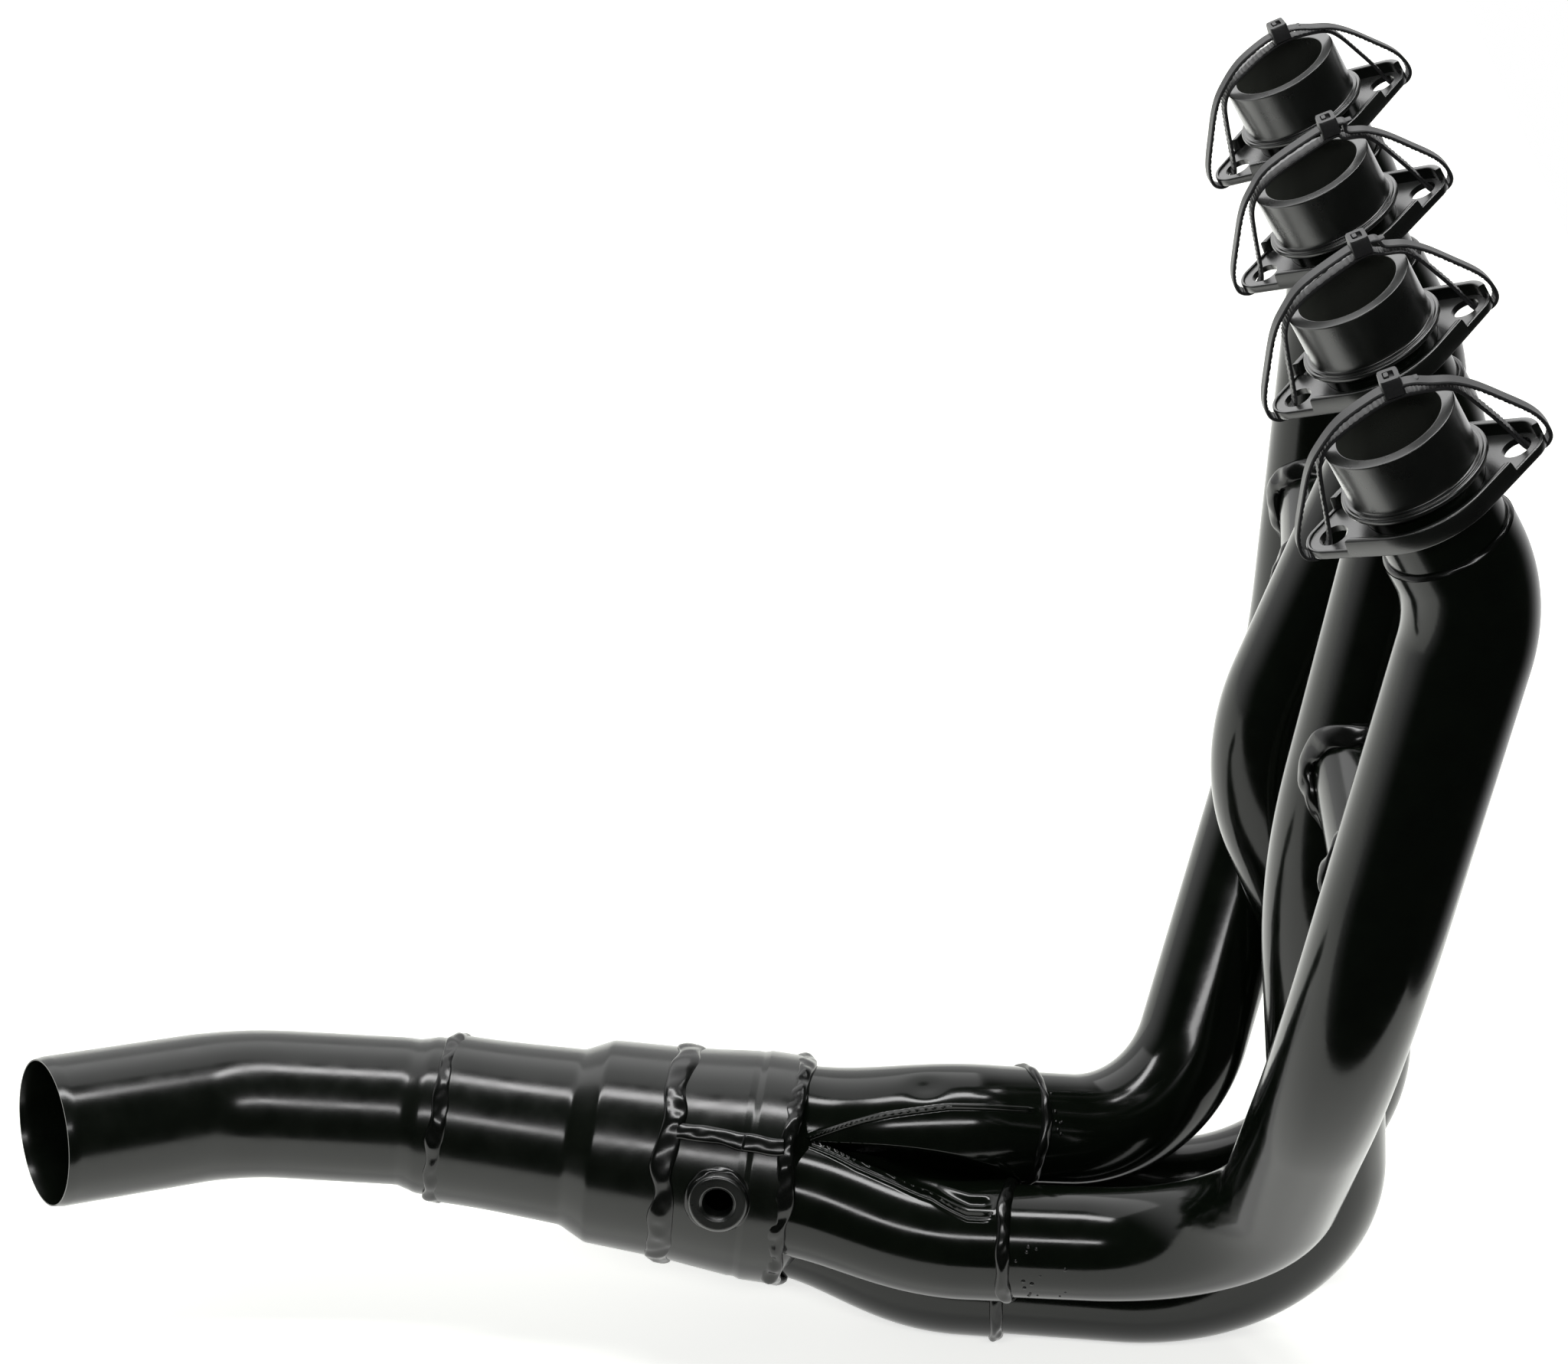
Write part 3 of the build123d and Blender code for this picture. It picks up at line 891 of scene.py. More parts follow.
    def stud_rod(self, end: int, base: float) -> Surface:
        """Rod that cuts the upper (1) or lower (-1) stud hole of a flange with its underside at a height."""
        origin = self.flange_seat.at(end * self.stud_spacing / 2, 0, base)
        return rod(replace(self.flange_seat, origin=origin), self.stud_hole / 2, low=-4.0, high=9.0)

    def tie_route(self) -> Array:
        """Loop of the tie in the plane of the port's axis and the studs.

        Returns:
            Points of the strap's middle, in the flange's own coordinates.
        """
        head = self.tie_head
        loop = np.array([
            (head + 5, 9.6), (15.5, 6.6), (21.0, 3.4), (26.0, -1.6), (31.5, -9.2), (36.3, -16.4),
            (38.2, -21.6), (38.2, -26.0), (36.0, -28.3), (32.6, -28.2), (30.4, -25.6), (28.2, -17.6),
            (25.4, -9.6), (22.4, -1.8), (19.4, 2.4), (14.0, 5.0), (head + 1, 7.2), (head - 6, 7.0),
            (-10.0, 5.0), (-17.8, 2.2), (-22.0, -2.0), (-24.6, -9.0), (-27.2, -18.0), (-29.6, -25.4),
            (-32.2, -28.2), (-36.0, -28.3), (-38.3, -25.4), (-37.0, -19.6), (-31.4, -10.4), (-25.6, -2.0),
            (-20.2, 3.0), (-11.5, 8.0), (head - 6, 10.4), (head, 10.4),
        ])
        return closed_curve(loop, per_span=14)

    def tie(self) -> None:
        """Nylon tie: a flat toothed band carried round the loop, and its ratchet head."""
        flat = self.tie_route()
        share = np.linspace(0, 1, len(flat), endpoint=False)
        sway = self.strap_sway * wobble(share, 70 + self.index, 1, 4)
        ahead = unit(np.roll(flat, -1, 0) - np.roll(flat, 1, 0))
        normal = np.stack([-ahead[:, 1], ahead[:, 0]], axis=1)
        across = np.array([-1, -0.86, 0.86, 1, 1, 0.86, -0.86, -1]) * self.strap_width / 2
        through = np.array([0.5, 1, 1, 0.5, -0.5, -1, -1, -0.5]) * self.strap_thickness / 2
        comb = np.sign(np.sin(2 * np.pi * share * self.teeth))[:, None]
        offset = through * (1 + self.tooth_depth * comb * (through < 0))
        x = flat[:, :1] + normal[:, :1] * offset
        z = flat[:, 1:] + normal[:, 1:] * offset
        strap = Surface().add(self.flange_seat.at(x, sway[:, None] + across, z))
        self.tie_block(strap)
        name = f"cable_tie_{self.number}"
        add_piece(name, strap.mesh(name, Sharp.TIE), self.finishes.nylon)

    def tie_block(self, strap: Surface) -> None:
        """Ratchet head with a slot for the strap, the tongue in the slot and the stump of the cut tail.

        Args:
            strap: Surface that they are added to.
        """
        flange = self.flange_seat
        slope = math.radians(self.head_slope)
        x = flange.x * math.cos(slope) + flange.z * math.sin(slope)
        z = flange.z * math.cos(slope) - flange.x * math.sin(slope)
        seat = Seat(flange.at(self.tie_head, 0.4, 9.6), x, flange.y, z)
        head = (
            (-1.5, PIN), (-1.5, 0.93), (-1.2, 1.0), (3.6, 0.94),
            (4.2, 0.88), (4.2, 0.50), (3.2, 0.46), (3.2, PIN),
        )
        slab = ((-1.0, PIN), (-1.0, 0.95), (-0.8, 1.0), (0.7, 1.0), (1.0, 0.9), (1.0, PIN))
        for centre, half, power, count, levels in (
            ((0.0, 0.0, 0.0), (3.2, 3.9, 1.0), 0.28, 64, head),
            ((-0.6, 0.3, 3.4), (0.7, 1.3, 0.9), 0.35, 32, slab),
            ((5.4, 0.0, 0.45), (2.2, 1.5, 0.3), 0.35, 32, slab),
        ):
            strap.add(rounded_block(seat, centre, half, power, count, levels), close_columns=False)

    def build(self) -> None:
        """Make every piece of this port."""
        self.spigot()
        self.stub()
        self.joint_bead()
        self.flange()
        self.tie()


@dataclass(frozen=True)
class Seam:
    """Pressed seam of a leg: where it runs, and the ridge, lips and hollow of the pressing."""

    shares: tuple[float, ...]
    degrees: tuple[float, ...]
    side: int
    ridge: float
    lips: float = 0.0
    hollow: float = 0.0
    ridge_width: float = 0.6
    lips_apart: float = 2.2
    hollow_width: float = 9.0
    leg_radius: float = 22.0

    def relief(self, share: Array, angle: Array, seed: int) -> Array:
        """Height over the leg's plain form.

        The ridge and the lips are bell curves of the distance from the seam, made slightly uneven. The hollow
        beside them is one wave of a squared sine.

        Args:
            share: Place along the leg, from its socket to the merge.
            angle: Angle round the leg from its outer side.
            seed: Chooses the unevenness.

        Returns:
            Height at each place.
        """
        middle = np.interp(share, self.shares, self.degrees)
        distance = np.radians(angle * 180 / np.pi - middle) * self.leg_radius * self.side
        ridge = self.ridge * np.exp(-((distance / self.ridge_width) ** 2))
        lips = self.lips * np.exp(-(((np.abs(distance) - self.lips_apart) / self.ridge_width) ** 2))
        hollow = self.hollow * np.sin(np.pi * np.clip(distance / self.hollow_width, 0, 1)) ** 2
        return (ridge + lips) * (1 + 0.10 * wobble(share, seed, 3, 10)) - hollow


NEAR_SEAM = Seam(
    shares=(0.0, 0.17, 0.39, 0.62, 0.82, 1.0), degrees=(50.0, 63.5, 67.5, 69.0, 75.0, 80.0),
    side=1, ridge=1.5, lips=0.5, hollow=1.4,
)
UPPER_SEAM = Seam(
    shares=(0.0, 0.19, 0.29, 0.44, 0.58, 0.78, 1.0),
    degrees=(-48.5, -48.5, -52.0, -57.0, -63.0, -72.0, -80.0),
    side=-1, ridge=1.2,
)


@dataclass
class Merge:
    """Merge collector: four pressed legs, body, sensor boss, stepped sleeve and bent outlet."""

    finishes: Finishes
    start: Point = (-86.0, 96.5, -379.0)
    axis: Point = (-0.985, 0.115, 0.095)
    leg_angles: tuple[float, ...] = (16.0, -74.0, 196.0, 106.0)
    leg_seams: tuple[Seam, ...] = (NEAR_SEAM, UPPER_SEAM, NEAR_SEAM, UPPER_SEAM)
    leg_wall: float = 1.5
    leg_gap: float = 0.15
    socket: float = 12.0
    end_offset: float = 16.4
    end_radius: float = 23.6
    dimpled_leg: int = 3
    dimple_depth: float = 1.1
    dimple_share: float = 0.27
    dimple_length: float = 0.06
    dimple_angle: float = -27.0
    dimple_width: float = 12.0
    speck_near: float = 4.0
    speck_sizes: tuple[float, float] = (0.4, 0.9)
    speck_height: float = 0.7
    core_start: float = 46.0
    core_bend: float = 66.0
    body_start: float = 82.0
    tuck: float = 6.0
    band: float = 12.0
    body_od: float = 83.4
    body_end_od: float = 77.6
    body_end: float = 124.5
    sheet: float = 1.8
    seam_angle: float = 52.0
    girth_stray: float = 0.7
    step_start: float = 152.0
    step_end: float = 162.0
    large_end_od: float = 74.4
    small_start_od: float = 64.6
    sleeve_end_od: float = 61.6
    sleeve_end: float = 208.0
    overlap: float = 16.0
    outlet_od: float = 54.0
    outlet_wall: float = 1.6
    outlet_turn: float = 226.0
    outlet_knee: Point = (-370.2, 126.4, -356.3)
    outlet_end: Point = (-433.5, 91.0, -340.5)
    outlet_bends: tuple[float, float] = (60.0, 62.0)
    expanded: float = 8.5
    swage: float = 6.0
    bung_station: float = 104.2
    bung_angle: float = 20.5
    bung_od: float = 21.2
    bung_proud: float = 4.0
    bung_hole: float = 11.2
    thread_pitch: float = 1.25
    thread_depth: float = 0.35
    thread_crest: float = 0.2
    bung_inset: float = 3.0

    def __post_init__(self) -> None:
        """Work out the seat on the merge axis: x to the near side, y up, z to the outlet."""
        self.seat = seat_along(np.array(self.start), unit(np.array(self.axis)), -Y_AXIS)
        self.socket_radius = TUBE_OD / 2 + SLIP + self.leg_wall
        self.leg_offset = self.socket_radius * math.sqrt(2) + self.leg_gap
        self.body_inner = self.end_offset + self.end_radius + SLIP
        self.band_end = self.body_start + self.band
        self.cone_start, self.cone_end = self.band_end + 5, self.body_end - 3
        self.cone_radius = self.body_od / 2 - 0.5

    def leg_side(self, index: int) -> Array:
        """Direction from the merge axis to a leg."""
        return self.seat.spoke(np.radians(self.leg_angles[index]))

    def leg_mouth(self, index: int) -> Array:
        """Centre of the mouth of the leg that takes one primary tube."""
        return self.seat.origin + self.leg_offset * self.leg_side(index)

    def leg(self, index: int, aim: Array) -> None:
        """Pressed leg: circles carried along a bent centreline, flattened where it meets its neighbours.

        The centreline is a straight socket and then a cubic curve that turns from the tube's direction into
        the merge axis. A ridge follows the seam, and the upper leg has a shallow dimple.

        Args:
            index: Number of the primary tube that enters the leg, from 0.
            aim: Direction of the tube where it enters.
        """
        mouth = self.leg_mouth(index)
        radial = self.leg_side(index)
        first = mouth + aim * self.socket
        last = self.seat.origin + radial * self.end_offset + self.seat.z * (self.body_start + self.tuck)
        lead = 0.4 * np.linalg.norm(last - first)
        handles = np.stack([first, first + aim * lead, last - self.seat.z * lead, last])
        socket_rows, plain_rows, blend_rows, inner_step = 16, 4, 5, 6
        t = np.linspace(0, 1, 130)
        weights = np.stack([(1 - t) ** 3, 3 * t * (1 - t) ** 2, 3 * t * t * (1 - t), t ** 3], axis=1)
        straight = mouth + aim * np.linspace(0, self.socket, socket_rows, endpoint=False)[:, None]
        path = np.concatenate([straight, weights @ handles])
        share = np.concatenate([np.zeros(socket_rows), t])
        radius = (self.socket_radius + (self.end_radius - self.socket_radius) * share)[:, None]
        angle = np.linspace(-np.pi, np.pi, 360, endpoint=False)[None, :]
        settled = np.clip((np.arange(share.size) - plain_rows) / blend_rows, 0, 1)[:, None]
        lift = settled * self.leg_relief(index, share[:, None], angle)
        e1, e2 = carried_frames(path, radial)
        ring = np.cos(angle)[..., None] * e1[:, None] + np.sin(angle)[..., None] * e2[:, None]
        outer = path[:, None] + (radius + lift)[..., None] * ring
        inner = (path[:, None] + (radius - self.leg_wall)[..., None] * ring)[::inner_step]
        grid = np.concatenate([
            self.between_neighbours(outer, index), self.between_neighbours(inner, index)[::-1],
        ])
        number = index + 1
        add_closed(f"merge_leg_{number}", grid, Sharp.LEG, self.finishes.gloss, f"collector_leg_{number}")

    def leg_relief(self, index: int, share: Array, angle: Array) -> Array:
        """Height of the seam, and depth of the dimple, over a leg's plain form.

        Args:
            index: Number of the leg, from 0.
            share: Place along the leg, from its socket to the merge.
            angle: Angle round the leg from its outer side.

        Returns:
            Height at each place.
        """
        height = self.leg_seams[index].relief(share, angle, 60 + index)
        if index == self.dimpled_leg:
            along = (share - self.dimple_share) / self.dimple_length
            across = (angle - np.radians(self.dimple_angle)) / np.radians(self.dimple_width)
            height = height - self.dimple_depth * np.exp(-(along ** 2 + across ** 2))
        return height

    def between_neighbours(self, grid: Array, index: int) -> Array:
        """Press points that reach past a leg's quarter of the merge back onto its flat side.

        Args:
            grid: Points of the leg.
            index: Number of the leg, from 0.

        Returns:
            The points, all inside the quarter.
        """
        radial = self.leg_side(index)
        across = np.cross(self.seat.z, radial)
        local = grid - self.seat.origin
        x = local @ radial
        y = local @ across
        reach = np.abs(y)
        even = np.maximum((x + reach) / 2, 0)
        over = reach > x
        new_x = np.where(over, even, x)
        new_y = np.where(over, np.sign(y) * even, y)
        return grid + (new_x - x)[..., None] * radial + (new_y - y)[..., None] * across

    def core(self) -> None:
        """Round core that closes the valleys between the legs at the merge."""
        full = self.body_inner - SLIP
        end = self.body_start + self.tuck
        corners = np.array([
            (0.01, self.core_start), (full * 0.12, self.core_start), (full * 0.6, self.core_bend),
            (full, self.body_start), (full, end), (0.01, end),
        ])
        profile = rounded_route(corners, [1.0, 8.0, 3.0, 0.5], step=1.5)
        surface = Surface().add(self.seat.turned(profile, count=180), close_columns=False)
        add_piece("merge_core", surface.mesh("merge_core", Sharp.LEG), self.finishes.gloss)

    def mouth_seat(self, index: int, aim: Array) -> Seat:
        """Seat at the mouth of a leg: x away from the merge axis, z along the tube that enters."""
        return seat_along(self.leg_mouth(index), aim, self.leg_side(index))

    def leg_bead(self, index: int, aim: Array) -> None:
        """Bead round a primary tube at the mouth of its leg.

        Args:
            index: Number of the leg, from 0.
            aim: Direction of the tube where it enters.
        """
        seat = self.mouth_seat(index, aim)
        angle = ring_angles(560)
        path = seat.ring(TUBE_OD / 2 + 0.7, angle, -0.5)
        number = index + 1
        bead = Bead(width=5.0, height=1.9, seed=11 + index, uneven=0.9)
        up = seat.spoke(angle) - 0.7 * aim
        bead.lay(f"leg_bead_{number}", self.finishes.weld, path, up, f"leg_weld_{number}")

    def body(self) -> None:
        """Short drawn cone with a plain band at the legs and a slightly raised edge."""
        inner = self.body_inner
        outer = inner + self.sheet
        end = self.body_end_od / 2
        profile = rounded_profile([
            (inner, self.body_start, 0.3),
            (outer, self.body_start, 0.8),
            (outer, self.band_end, 2.0),
            (self.body_od / 2 - 0.6, self.band_end + 2.5, 2.0),
            (self.cone_radius, self.cone_start, 2.0),
            (end, self.cone_end, 4.0),
            (end, self.body_end, 0.3),
            (end - self.sheet, self.body_end, 0.3),
            (inner - 1.0, self.band_end + 4, 2.0),
            (inner, self.band_end, 2.0),
        ], step=1.0)
        blank = Surface().add(self.seat.turned(profile, count=320)).mesh("merge_body", Sharp.TUBE)
        hole = rod(self.bung_seat(), self.bung_od / 2 - 0.4, low=20.0, high=60.0)
        mesh = cut_with_rods(blank, [hole], Sharp.TUBE)
        add_piece("merge_body", mesh, self.finishes.semigloss, "collector_body")

    def body_radius(self, station: Values) -> Array:
        """Outside radius of the body's cone at a station."""
        share = (station - self.cone_start) / (self.cone_end - self.cone_start)
        return self.cone_radius + (self.body_end_od / 2 - self.cone_radius) * np.clip(share, 0, 1)

    def reducer(self) -> None:
        """Stepped sleeve: a short large cone, a rolled shoulder and a long small cone."""
        outside = [
            (self.body_end_od / 2, self.body_end, 0.3),
            (self.body_end_od / 2 - 0.4, self.body_end + 4, 3.0),
            (self.large_end_od / 2, self.step_start, 5.0),
            (self.small_start_od / 2, self.step_end, 7.0),
            (self.sleeve_end_od / 2, self.sleeve_end - self.overlap, 400.0),
            (self.sleeve_end_od / 2, self.sleeve_end, 0.5),
        ]
        inside = [(radius - self.sheet, station, corner) for radius, station, corner in reversed(outside)]
        grid = self.seat.turned(rounded_profile(outside + inside, step=1.2), count=320)
        add_closed("reducing_sleeve", grid, Sharp.TUBE, self.finishes.semigloss, "collector_reducer")

    def outlet(self) -> None:
        """Outlet pipe: its end expanded into the sleeve, a slight turn, one bend and a plain cut mouth."""
        swell = self.sleeve_end_od / 2 - self.sheet - SLIP
        plain = self.outlet_od / 2
        first = self.sleeve_end + self.expanded
        last = first + self.swage
        straight = self.seat.at(0, 0, np.array([self.sleeve_end - self.overlap, self.outlet_turn]))
        corners = np.array([*straight, self.outlet_knee, self.outlet_end])
        path = rounded_route(corners, list(self.outlet_bends), step=1.5)
        station = (path - self.seat.origin) @ self.seat.z
        sizes = [swell, swell - 0.5, plain + 0.5, plain]
        radius = np.interp(station, [first, first + 1.2, last - 1.2, last], sizes)
        rounding = np.array([0.0, 0.25, 0.55])
        radius[-3:] -= rounding
        inner_radius = radius - self.outlet_wall
        inner_radius[-3:] += 2 * rounding
        outer, inner = (tube_grid(path, size, 200, Z_AXIS) for size in (radius, inner_radius))
        grid = np.concatenate([outer, inner[::-1]])
        add_closed("outlet_pipe_bent", grid, Sharp.TUBE, self.finishes.semigloss, "outlet_pipe")

    def girth_beads(self) -> None:
        """Beads all the way round the merge, which stray a little to both sides of their joints."""
        angle = ring_angles(900)
        for name, station, radius, width, height, seed in (
            ("merge", self.body_start, self.body_inner + 0.2, 6.8, 2.3, 3),
            ("body", self.body_end, self.body_end_od / 2 - 0.2, 8.4, 1.7, 15),
            ("outlet", self.sleeve_end + 0.8, self.sleeve_end_od / 2 - 1.2, 6.2, 1.9, 7),
        ):
            stray = self.girth_stray * wobble(angle / (2 * np.pi), seed + 9)
            path = self.seat.ring(radius, angle, station + stray)
            bead = Bead(width, height, seed, uneven=1.05)
            bead.lay(f"{name}_bead", self.finishes.weld, path, self.seat.spoke(angle), f"{name}_weld")

    def bung_seat(self) -> Seat:
        """Seat on the merge axis at the sensor boss, its z out through the boss."""
        axis, side = self.seat.z, self.seat.spoke(np.radians(self.bung_angle))
        return Seat(self.seat.origin + axis * self.bung_station, axis, np.cross(side, axis), side)

    def bung(self) -> None:
        """Threaded sensor boss: a turned ring with a rounded top and a cut thread, and the bead at its foot.

        The thread is a triangle wave of the depth, and the bead follows the body's round side.
        """
        seat = self.bung_seat()
        base = float(self.body_radius(self.bung_station))
        top = base + self.bung_proud
        root = base - self.sheet - self.bung_inset
        hole = self.bung_hole / 2
        wall = self.bung_od / 2
        chamfer = 0.9
        corners = np.array([(wall, root), (wall, top), (hole + chamfer, top), (hole, top - chamfer)])
        depth = np.linspace(top - chamfer, root, 100)
        wave = np.abs(((top - depth) / self.thread_pitch) % 1.0 - 0.5)
        thread = hole + self.thread_depth * wave * 2 - self.thread_crest
        profile = np.concatenate([rounded_route(corners, [1.2, 0.4], 0.4), np.stack([thread, depth], axis=1)])
        grid = seat.turned(profile, count=128)
        add_closed("sensor_boss_turned", grid, Sharp.BOSS, self.finishes.satin, "lambda_bung")
        angle = ring_angles(300)
        radius = wall + 0.4
        path = seat.ring(radius, angle, np.sqrt(base ** 2 - (radius * np.sin(angle)) ** 2) + 0.2)
        bead = Bead(width=3.2, height=1.3, seed=95, uneven=0.8)
        bead.lay("sensor_boss_bead", self.finishes.weld, path, seat.spoke(angle) + seat.z)

    def body_seam(self) -> None:
        """Lengthwise bead along the body where its sheet was closed."""
        station = np.linspace(self.body_start + 2, self.body_end - 2, 160)
        cone = self.band_end + 4
        radius = np.interp(station, [self.band_end, cone], [self.body_inner + self.sheet, self.body_od / 2])
        radius = np.where(station > cone, self.body_radius(station), radius)
        angle = np.radians(self.seam_angle + 1.2 * wobble(station / 60, 17, 1, 4))
        path = self.seat.ring(radius, angle, station)
        bead = Bead(width=6.4, height=1.7, seed=23, uneven=0.4)
        bead.lay("body_seam_bead", self.finishes.weld, path, self.seat.spoke(angle), closed=False)

    def spatter(self, aims: list[Array]) -> None:
        """Specks of weld spatter under the paint: small domes on the tubes just before their legs.

        Every dome is the same half ball, a function of a turn and a rise, scaled and set on the tube.

        Args:
            aims: Direction of each primary tube where it enters its leg.
        """
        random = np.random.RandomState(31)
        turn = ring_angles(12)[None, :]
        rise = np.linspace(0, np.pi / 2, 5)[:, None]
        surface = Surface()
        for index, count, reach, low, high in ((0, 15, 23.0, -48, 22), (3, 7, 8.0, -75, -20)):
            mouth = self.mouth_seat(index, aims[index])
            angles = np.radians(random.uniform(low, high, count))
            backs = random.uniform(self.speck_near, reach, count)
            sizes = random.uniform(*self.speck_sizes, count)
            for angle, back, size in zip(angles, backs, sizes):
                out = mouth.spoke(angle)
                spot = Seat(mouth.ring(TUBE_OD / 2, angle, -back), np.cross(out, mouth.z), mouth.z, out)
                dome = spot.ring(size * np.cos(rise), turn, self.speck_height * size * np.sin(rise))
                surface.add(dome, close_rows=False)
        add_piece("weld_spatter", surface.mesh("weld_spatter", Sharp.SPATTER), self.finishes.weld)

    def build(self, aims: list[Array]) -> None:
        """Make every piece of the merge.

        Args:
            aims: Direction of each primary tube where it enters its leg.
        """
        for index, aim in enumerate(aims):
            self.leg(index, aim)
            self.leg_bead(index, aim)
        self.core()
        self.spatter(aims)
        self.body()
        self.body_seam()
        self.bung()
        self.reducer()
        self.outlet()
        self.girth_beads()


@dataclass
class Primaries:
    """Four bent primary tubes and the two balance tubes between them."""

    finishes: Finishes
    merge: Merge
    tube_wall: float = 1.5
    tuck: float = 8.0
    top_drop: tuple[float, ...] = (66.0, 66.0, 91.0, 62.0)
    top_bend: tuple[float, ...] = (45.0, 45.0, 60.0, 45.0)
    middle: tuple[Point, ...] = (
        (2.0, -27.0, -205.0), (6.0, 56.0, -200.0), (-5.0, 144.0, -215.0), (22.0, 220.0, -235.0),
    )
    middle_bend: tuple[float, ...] = (150.0, 180.0, 80.0, 143.0)
    lower: tuple[Point, ...] = (
        (-3.0, 52.0, -361.0), (31.0, 74.0, -407.0), (85.0, 133.0, -431.0), (-29.0, 116.0, -363.0),
    )
    lower_bend: tuple[float, ...] = (72.0, 70.0, 62.0, 48.0)
    crossover_od: float = 30.0
    crossover_height: float = -154.5
    crossover_shares: tuple[float, float] = (0.12, 0.88)

    def aim(self, index: int) -> Array:
        """Direction of a tube where it enters its leg."""
        return unit(self.merge.leg_mouth(index) - np.array(self.lower[index]))

    def corners(self, index: int) -> Array:
        """Start, bend corners and end of a tube's centreline."""
        top = port_seat(index).at(0, 0, np.array([-TUBE_START, -self.top_drop[index]]))
        end = self.merge.leg_mouth(index) + self.aim(index) * self.tuck
        return np.array([*top, self.middle[index], self.lower[index], end])

    def tube(self, index: int) -> None:
        """Bent tube: a circle carried along straight runs and arcs, with its wall turned in at the ends.

        Args:
            index: Number of the tube, from 0.
        """
        bends = [self.top_bend[index], self.middle_bend[index], self.lower_bend[index]]
        path = rounded_route(self.corners(index), bends, step=2.2)
        outer, inner = (
            tube_grid(path, radius, 128, Y_AXIS) for radius in (TUBE_OD / 2, TUBE_OD / 2 - self.tube_wall)
        )
        grid = np.concatenate([outer, inner[::-6]])
        number = index + 1
        add_closed(f"primary_bent_{number}", grid, Sharp.TUBE, self.finishes.gloss, f"primary_tube_{number}")

    def crossing(self, index: int) -> tuple[Array, Array]:
        """Where a tube's upper run passes the height of the balance tubes.

        Args:
            index: Number of the tube, from 0.

        Returns:
            Point of the centreline and its direction there.
        """
        top, low = self.corners(index)[1:3]
        share = (self.crossover_height - top[2]) / (low[2] - top[2])
        return top + (low - top) * share, unit(low - top)

    def balance(self, first: int, second: int) -> None:
        """Balance tube between two primaries, with a heavy bead along the saddle at each end.

        Args:
            first: Number of one primary, from 0.
            second: Number of the other.
        """
        ends = (self.crossing(first), self.crossing(second))
        path = ends[0][0] + (ends[1][0] - ends[0][0]) * np.linspace(*self.crossover_shares, 30)[:, None]
        surface = Surface().add(tube_grid(path, self.crossover_od / 2, 96, Z_AXIS), close_rows=False)
        label = f"{first + 1}{second + 1}"
        name = f"balance_tube_{label}"
        add_piece(name, surface.mesh(name, Sharp.TUBE), self.finishes.gloss, f"crossover_{label}")
        for index, (here, there) in zip((first, second), (ends, ends[::-1])):
            self.saddle_bead(index, here, there[0])

    def saddle_bead(self, index: int, here: tuple[Array, Array], far: Array) -> None:
        """Bead along the curve where a balance tube meets a primary.

        Each point lies on the balance tube at one angle, as far along it as the primary's outside. That reach
        is the larger root of the quadratic for a line that meets a cylinder.

        Args:
            index: Number of the primary, from 0.
            here: Point and direction of the primary's centreline.
            far: Other end of the balance tube.
        """
        centre, along = here
        seat = seat_along(centre, unit(far - centre), Z_AXIS)
        ring = seat.spoke(ring_angles(420))
        spoke = ring * (self.crossover_od / 2 + 1.8)
        flat_way = seat.z - along * (seat.z @ along)
        flat_spoke = spoke - (spoke @ along)[:, None] * along
        a = flat_way @ flat_way
        b = 2 * flat_spoke @ flat_way
        c = (flat_spoke ** 2).sum(1) - (TUBE_OD / 2 + 0.5) ** 2
        reach = ((-b + np.sqrt(np.maximum(b * b - 4 * a * c, 0))) / (2 * a))[:, None]
        path = centre + spoke + reach * seat.z
        up = ring + unit(flat_spoke + reach * flat_way)
        number = index + 1
        bead = Bead(width=8.6, height=2.6, seed=80 + index, uneven=0.9)
        bead.lay(f"balance_bead_{number}", self.finishes.weld, path, up, f"crossover_weld_{number}")

    def build(self) -> None:
        """Make the tubes and the balance tubes."""
        for index in range(4):
            self.tube(index)
        self.balance(0, 1)
        self.balance(2, 3)


@dataclass(frozen=True)
class Softbox:
    """Rectangular soft light: place, aim, width and height in metres, power in watts."""

    name: str
    place: Point
    aim: Point
    size: tuple[float, float]
    power: float

    def build(self) -> None:
        """Make the light, its width level."""
        data = bpy.data.lights.new(self.name, "AREA")
        data.shape = "RECTANGLE"
        data.size, data.size_y = self.size
        data.energy = self.power
        back = unit(np.array(self.place) - np.array(self.aim))
        side = unit(np.cross(Z_AXIS, back))
        turn = Matrix(np.column_stack([side, np.cross(back, side), back]).tolist()).to_4x4()
        put(self.name, data).matrix_world = Matrix.Translation(self.place) @ turn


SOFTBOXES = (
    Softbox("overhead", (-0.25, 0.36, 1.35), (-0.25, 0.1, -0.37), (1.7, 0.24), 20),
    Softbox("overhead_right", (0.84, 0.80, 1.35), (-0.1, 0.1, -0.25), (0.6, 0.22), 3.5),
    Softbox("front_strip", (-0.3, -1.16, 0.92), (-0.3, 0.1, -0.37), (1.6, 0.15), 10),
    Softbox("back_wall", (-0.55, 1.4, 1.05), (-0.2, 0.1, -0.3), (2.0, 1.5), 12),
)


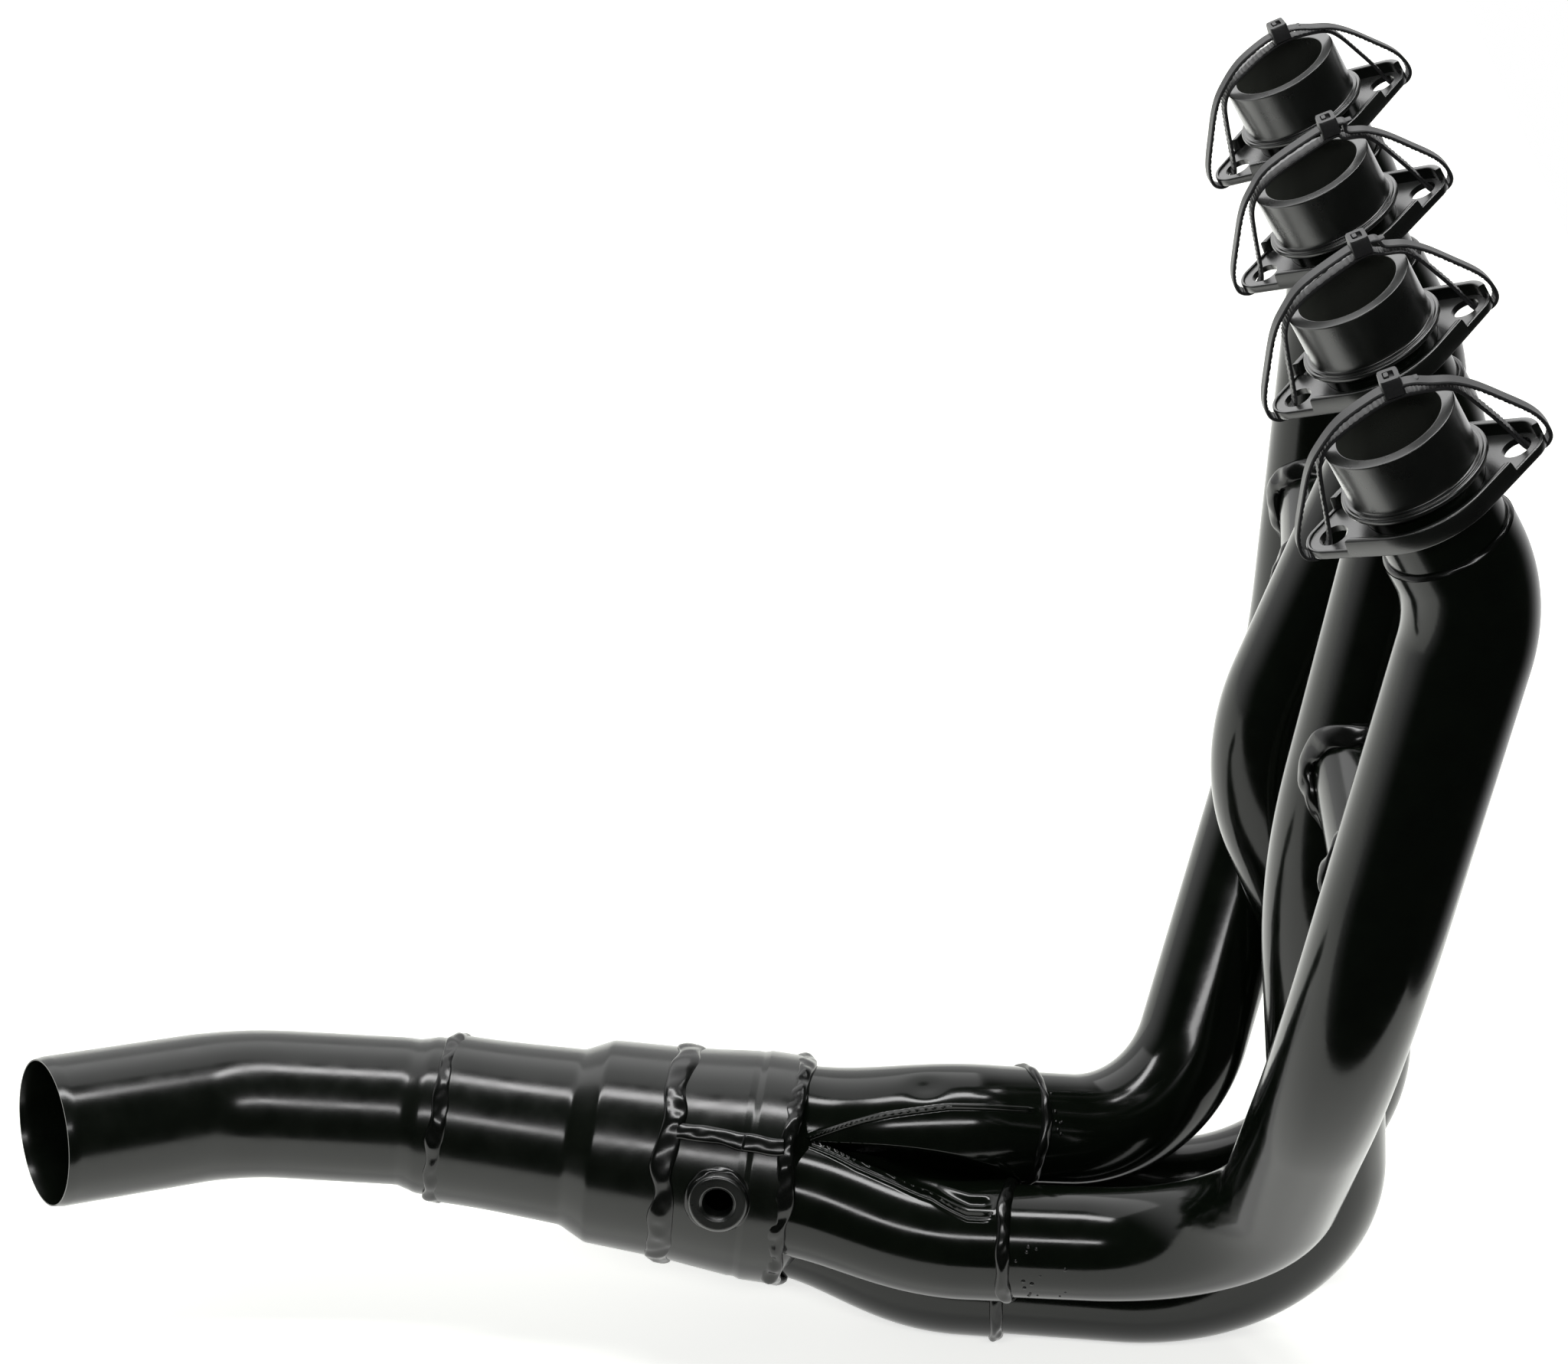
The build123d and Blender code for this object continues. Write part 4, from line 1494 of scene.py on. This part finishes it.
@dataclass
class Studio:
    """Pale floor, soft lights and the camera."""

    focal_px: float = 4400.0
    frame_px: int = 2048
    sensor_mm: float = 36.0
    elevation: float = 33.55
    eye_mm: Point = (-168.74, -824.2, 459.8)
    sheet_x: tuple[float, float] = (-1.5, 0.30)
    sheet_y: tuple[float, float] = (-0.22, 1.8)
    sheet_gap: float = 0.0005
    sheet_glow: float = 0.62
    wall_side: Point = (-0.35, 1.0, -0.6)
    room_light: float = 0.15

    def camera(self) -> None:
        """Camera before port 1, looking along +Y and down."""
        data = bpy.data.cameras.new("camera")
        data.sensor_width = self.sensor_mm
        data.sensor_fit = "HORIZONTAL"
        data.lens = self.focal_px / self.frame_px * self.sensor_mm
        data.clip_start = 0.01
        data.clip_end = 50
        camera = put("camera", data)
        tilt = Matrix.Rotation(math.radians(90 - self.elevation), 4, "X")
        camera.matrix_world = Matrix.Translation([c * MM for c in self.eye_mm]) @ tilt
        bpy.context.scene.camera = camera

    def floor(self, height: float) -> None:
        """White sheet just under the header, which glows for every ray that shows it as a background.

        Args:
            height: Height of the sheet in metres.
        """
        (left, right), (front, back) = self.sheet_x, self.sheet_y
        mesh = bpy.data.meshes.new("floor")
        corners = [(x, y, height) for x, y in ((left, front), (right, front), (right, back), (left, back))]
        mesh.from_pydata(corners, [], [(0, 1, 2, 3)])
        # Paper, cut from a roll: a flat white without any shine, a little brighter than its light makes it.
        material, shader = new_material("white_paper_matt")
        tree = material.node_tree
        rays = add_node(tree, "ShaderNodeLightPath", {}, {})
        seen = (rays, "Is Camera Ray")
        for kind in ("Is Glossy Ray", "Is Transmission Ray"):
            seen = (add_node(tree, "ShaderNodeMath", {"operation": "MAXIMUM"}, {0: seen, 1: (rays, kind)}), 0)
        glow = add_node(tree, "ShaderNodeMath", {"operation": "MULTIPLY", 1: self.sheet_glow}, {0: seen})
        settings = {
            "Base Color": linear_colour("#f0f2ea"), "Roughness": 0.9, "Specular IOR Level": 0.0,
            "Emission Color": WHITE,
        }
        wire(tree, shader, settings, {"Emission Strength": (glow, 0)})
        mesh.materials.append(material)
        floor = put("floor", mesh)
        floor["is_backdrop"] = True

    def world(self) -> None:
        """Room round the sheet: a white wall behind and to the left, dark to the front and the right."""
        world = bpy.data.worlds.new("studio")
        bpy.context.scene.world = world
        world.use_nodes = True
        tree = world.node_tree
        place = add_node(tree, "ShaderNodeTexCoord", {}, {})
        side = {"operation": "DOT_PRODUCT", 1: self.wall_side}
        towards = add_node(tree, "ShaderNodeVectorMath", side, {0: (place, "Generated")})
        fade = {"From Min": -0.1, "From Max": 0.7, "To Min": 0.02, "To Max": 1.0}
        fade["interpolation_type"] = "SMOOTHSTEP"
        room = add_node(tree, "ShaderNodeMapRange", fade, {"Value": (towards, "Value")})
        rays = add_node(tree, "ShaderNodeLightPath", {}, {})
        level = (room, "Result")
        for kind, strength in (("Is Diffuse Ray", self.room_light), ("Is Camera Ray", 1.0)):
            links = {0: (rays, kind), 2: level}
            level = (add_node(tree, "ShaderNodeMix", {"data_type": "FLOAT", 3: strength}, links), 0)
        wire(tree, tree.nodes["Background"], {"Color": WHITE}, {"Strength": level})

    def build(self, lowest: float) -> None:
        """Make the floor, the lights and the camera.

        Args:
            lowest: Lowest point of the header in metres.
        """
        self.camera()
        self.floor(lowest - self.sheet_gap)
        self.world()
        for softbox in SOFTBOXES:
            softbox.build()


def main() -> None:
    """Dress the frame: ports, tubes, merge and studio."""
    logging.basicConfig(level=logging.INFO, format="%(name)s: %(message)s")
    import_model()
    frame_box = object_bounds()
    bpy.context.scene.view_settings.view_transform = "Standard"
    finishes = make_finishes()
    merge = Merge(finishes)
    primaries = Primaries(finishes, merge)
    for index, (clock, head) in enumerate(((2.0, 5.5), (6.0, 9.0), (4.0, 11.0), (9.0, 5.0))):
        PortEnd(index, clock, head, finishes).build()
    primaries.build()
    merge.build([primaries.aim(index) for index in range(4)])
    Studio().build(frame_box[0][2])


if __name__ == "__main__":
    main()
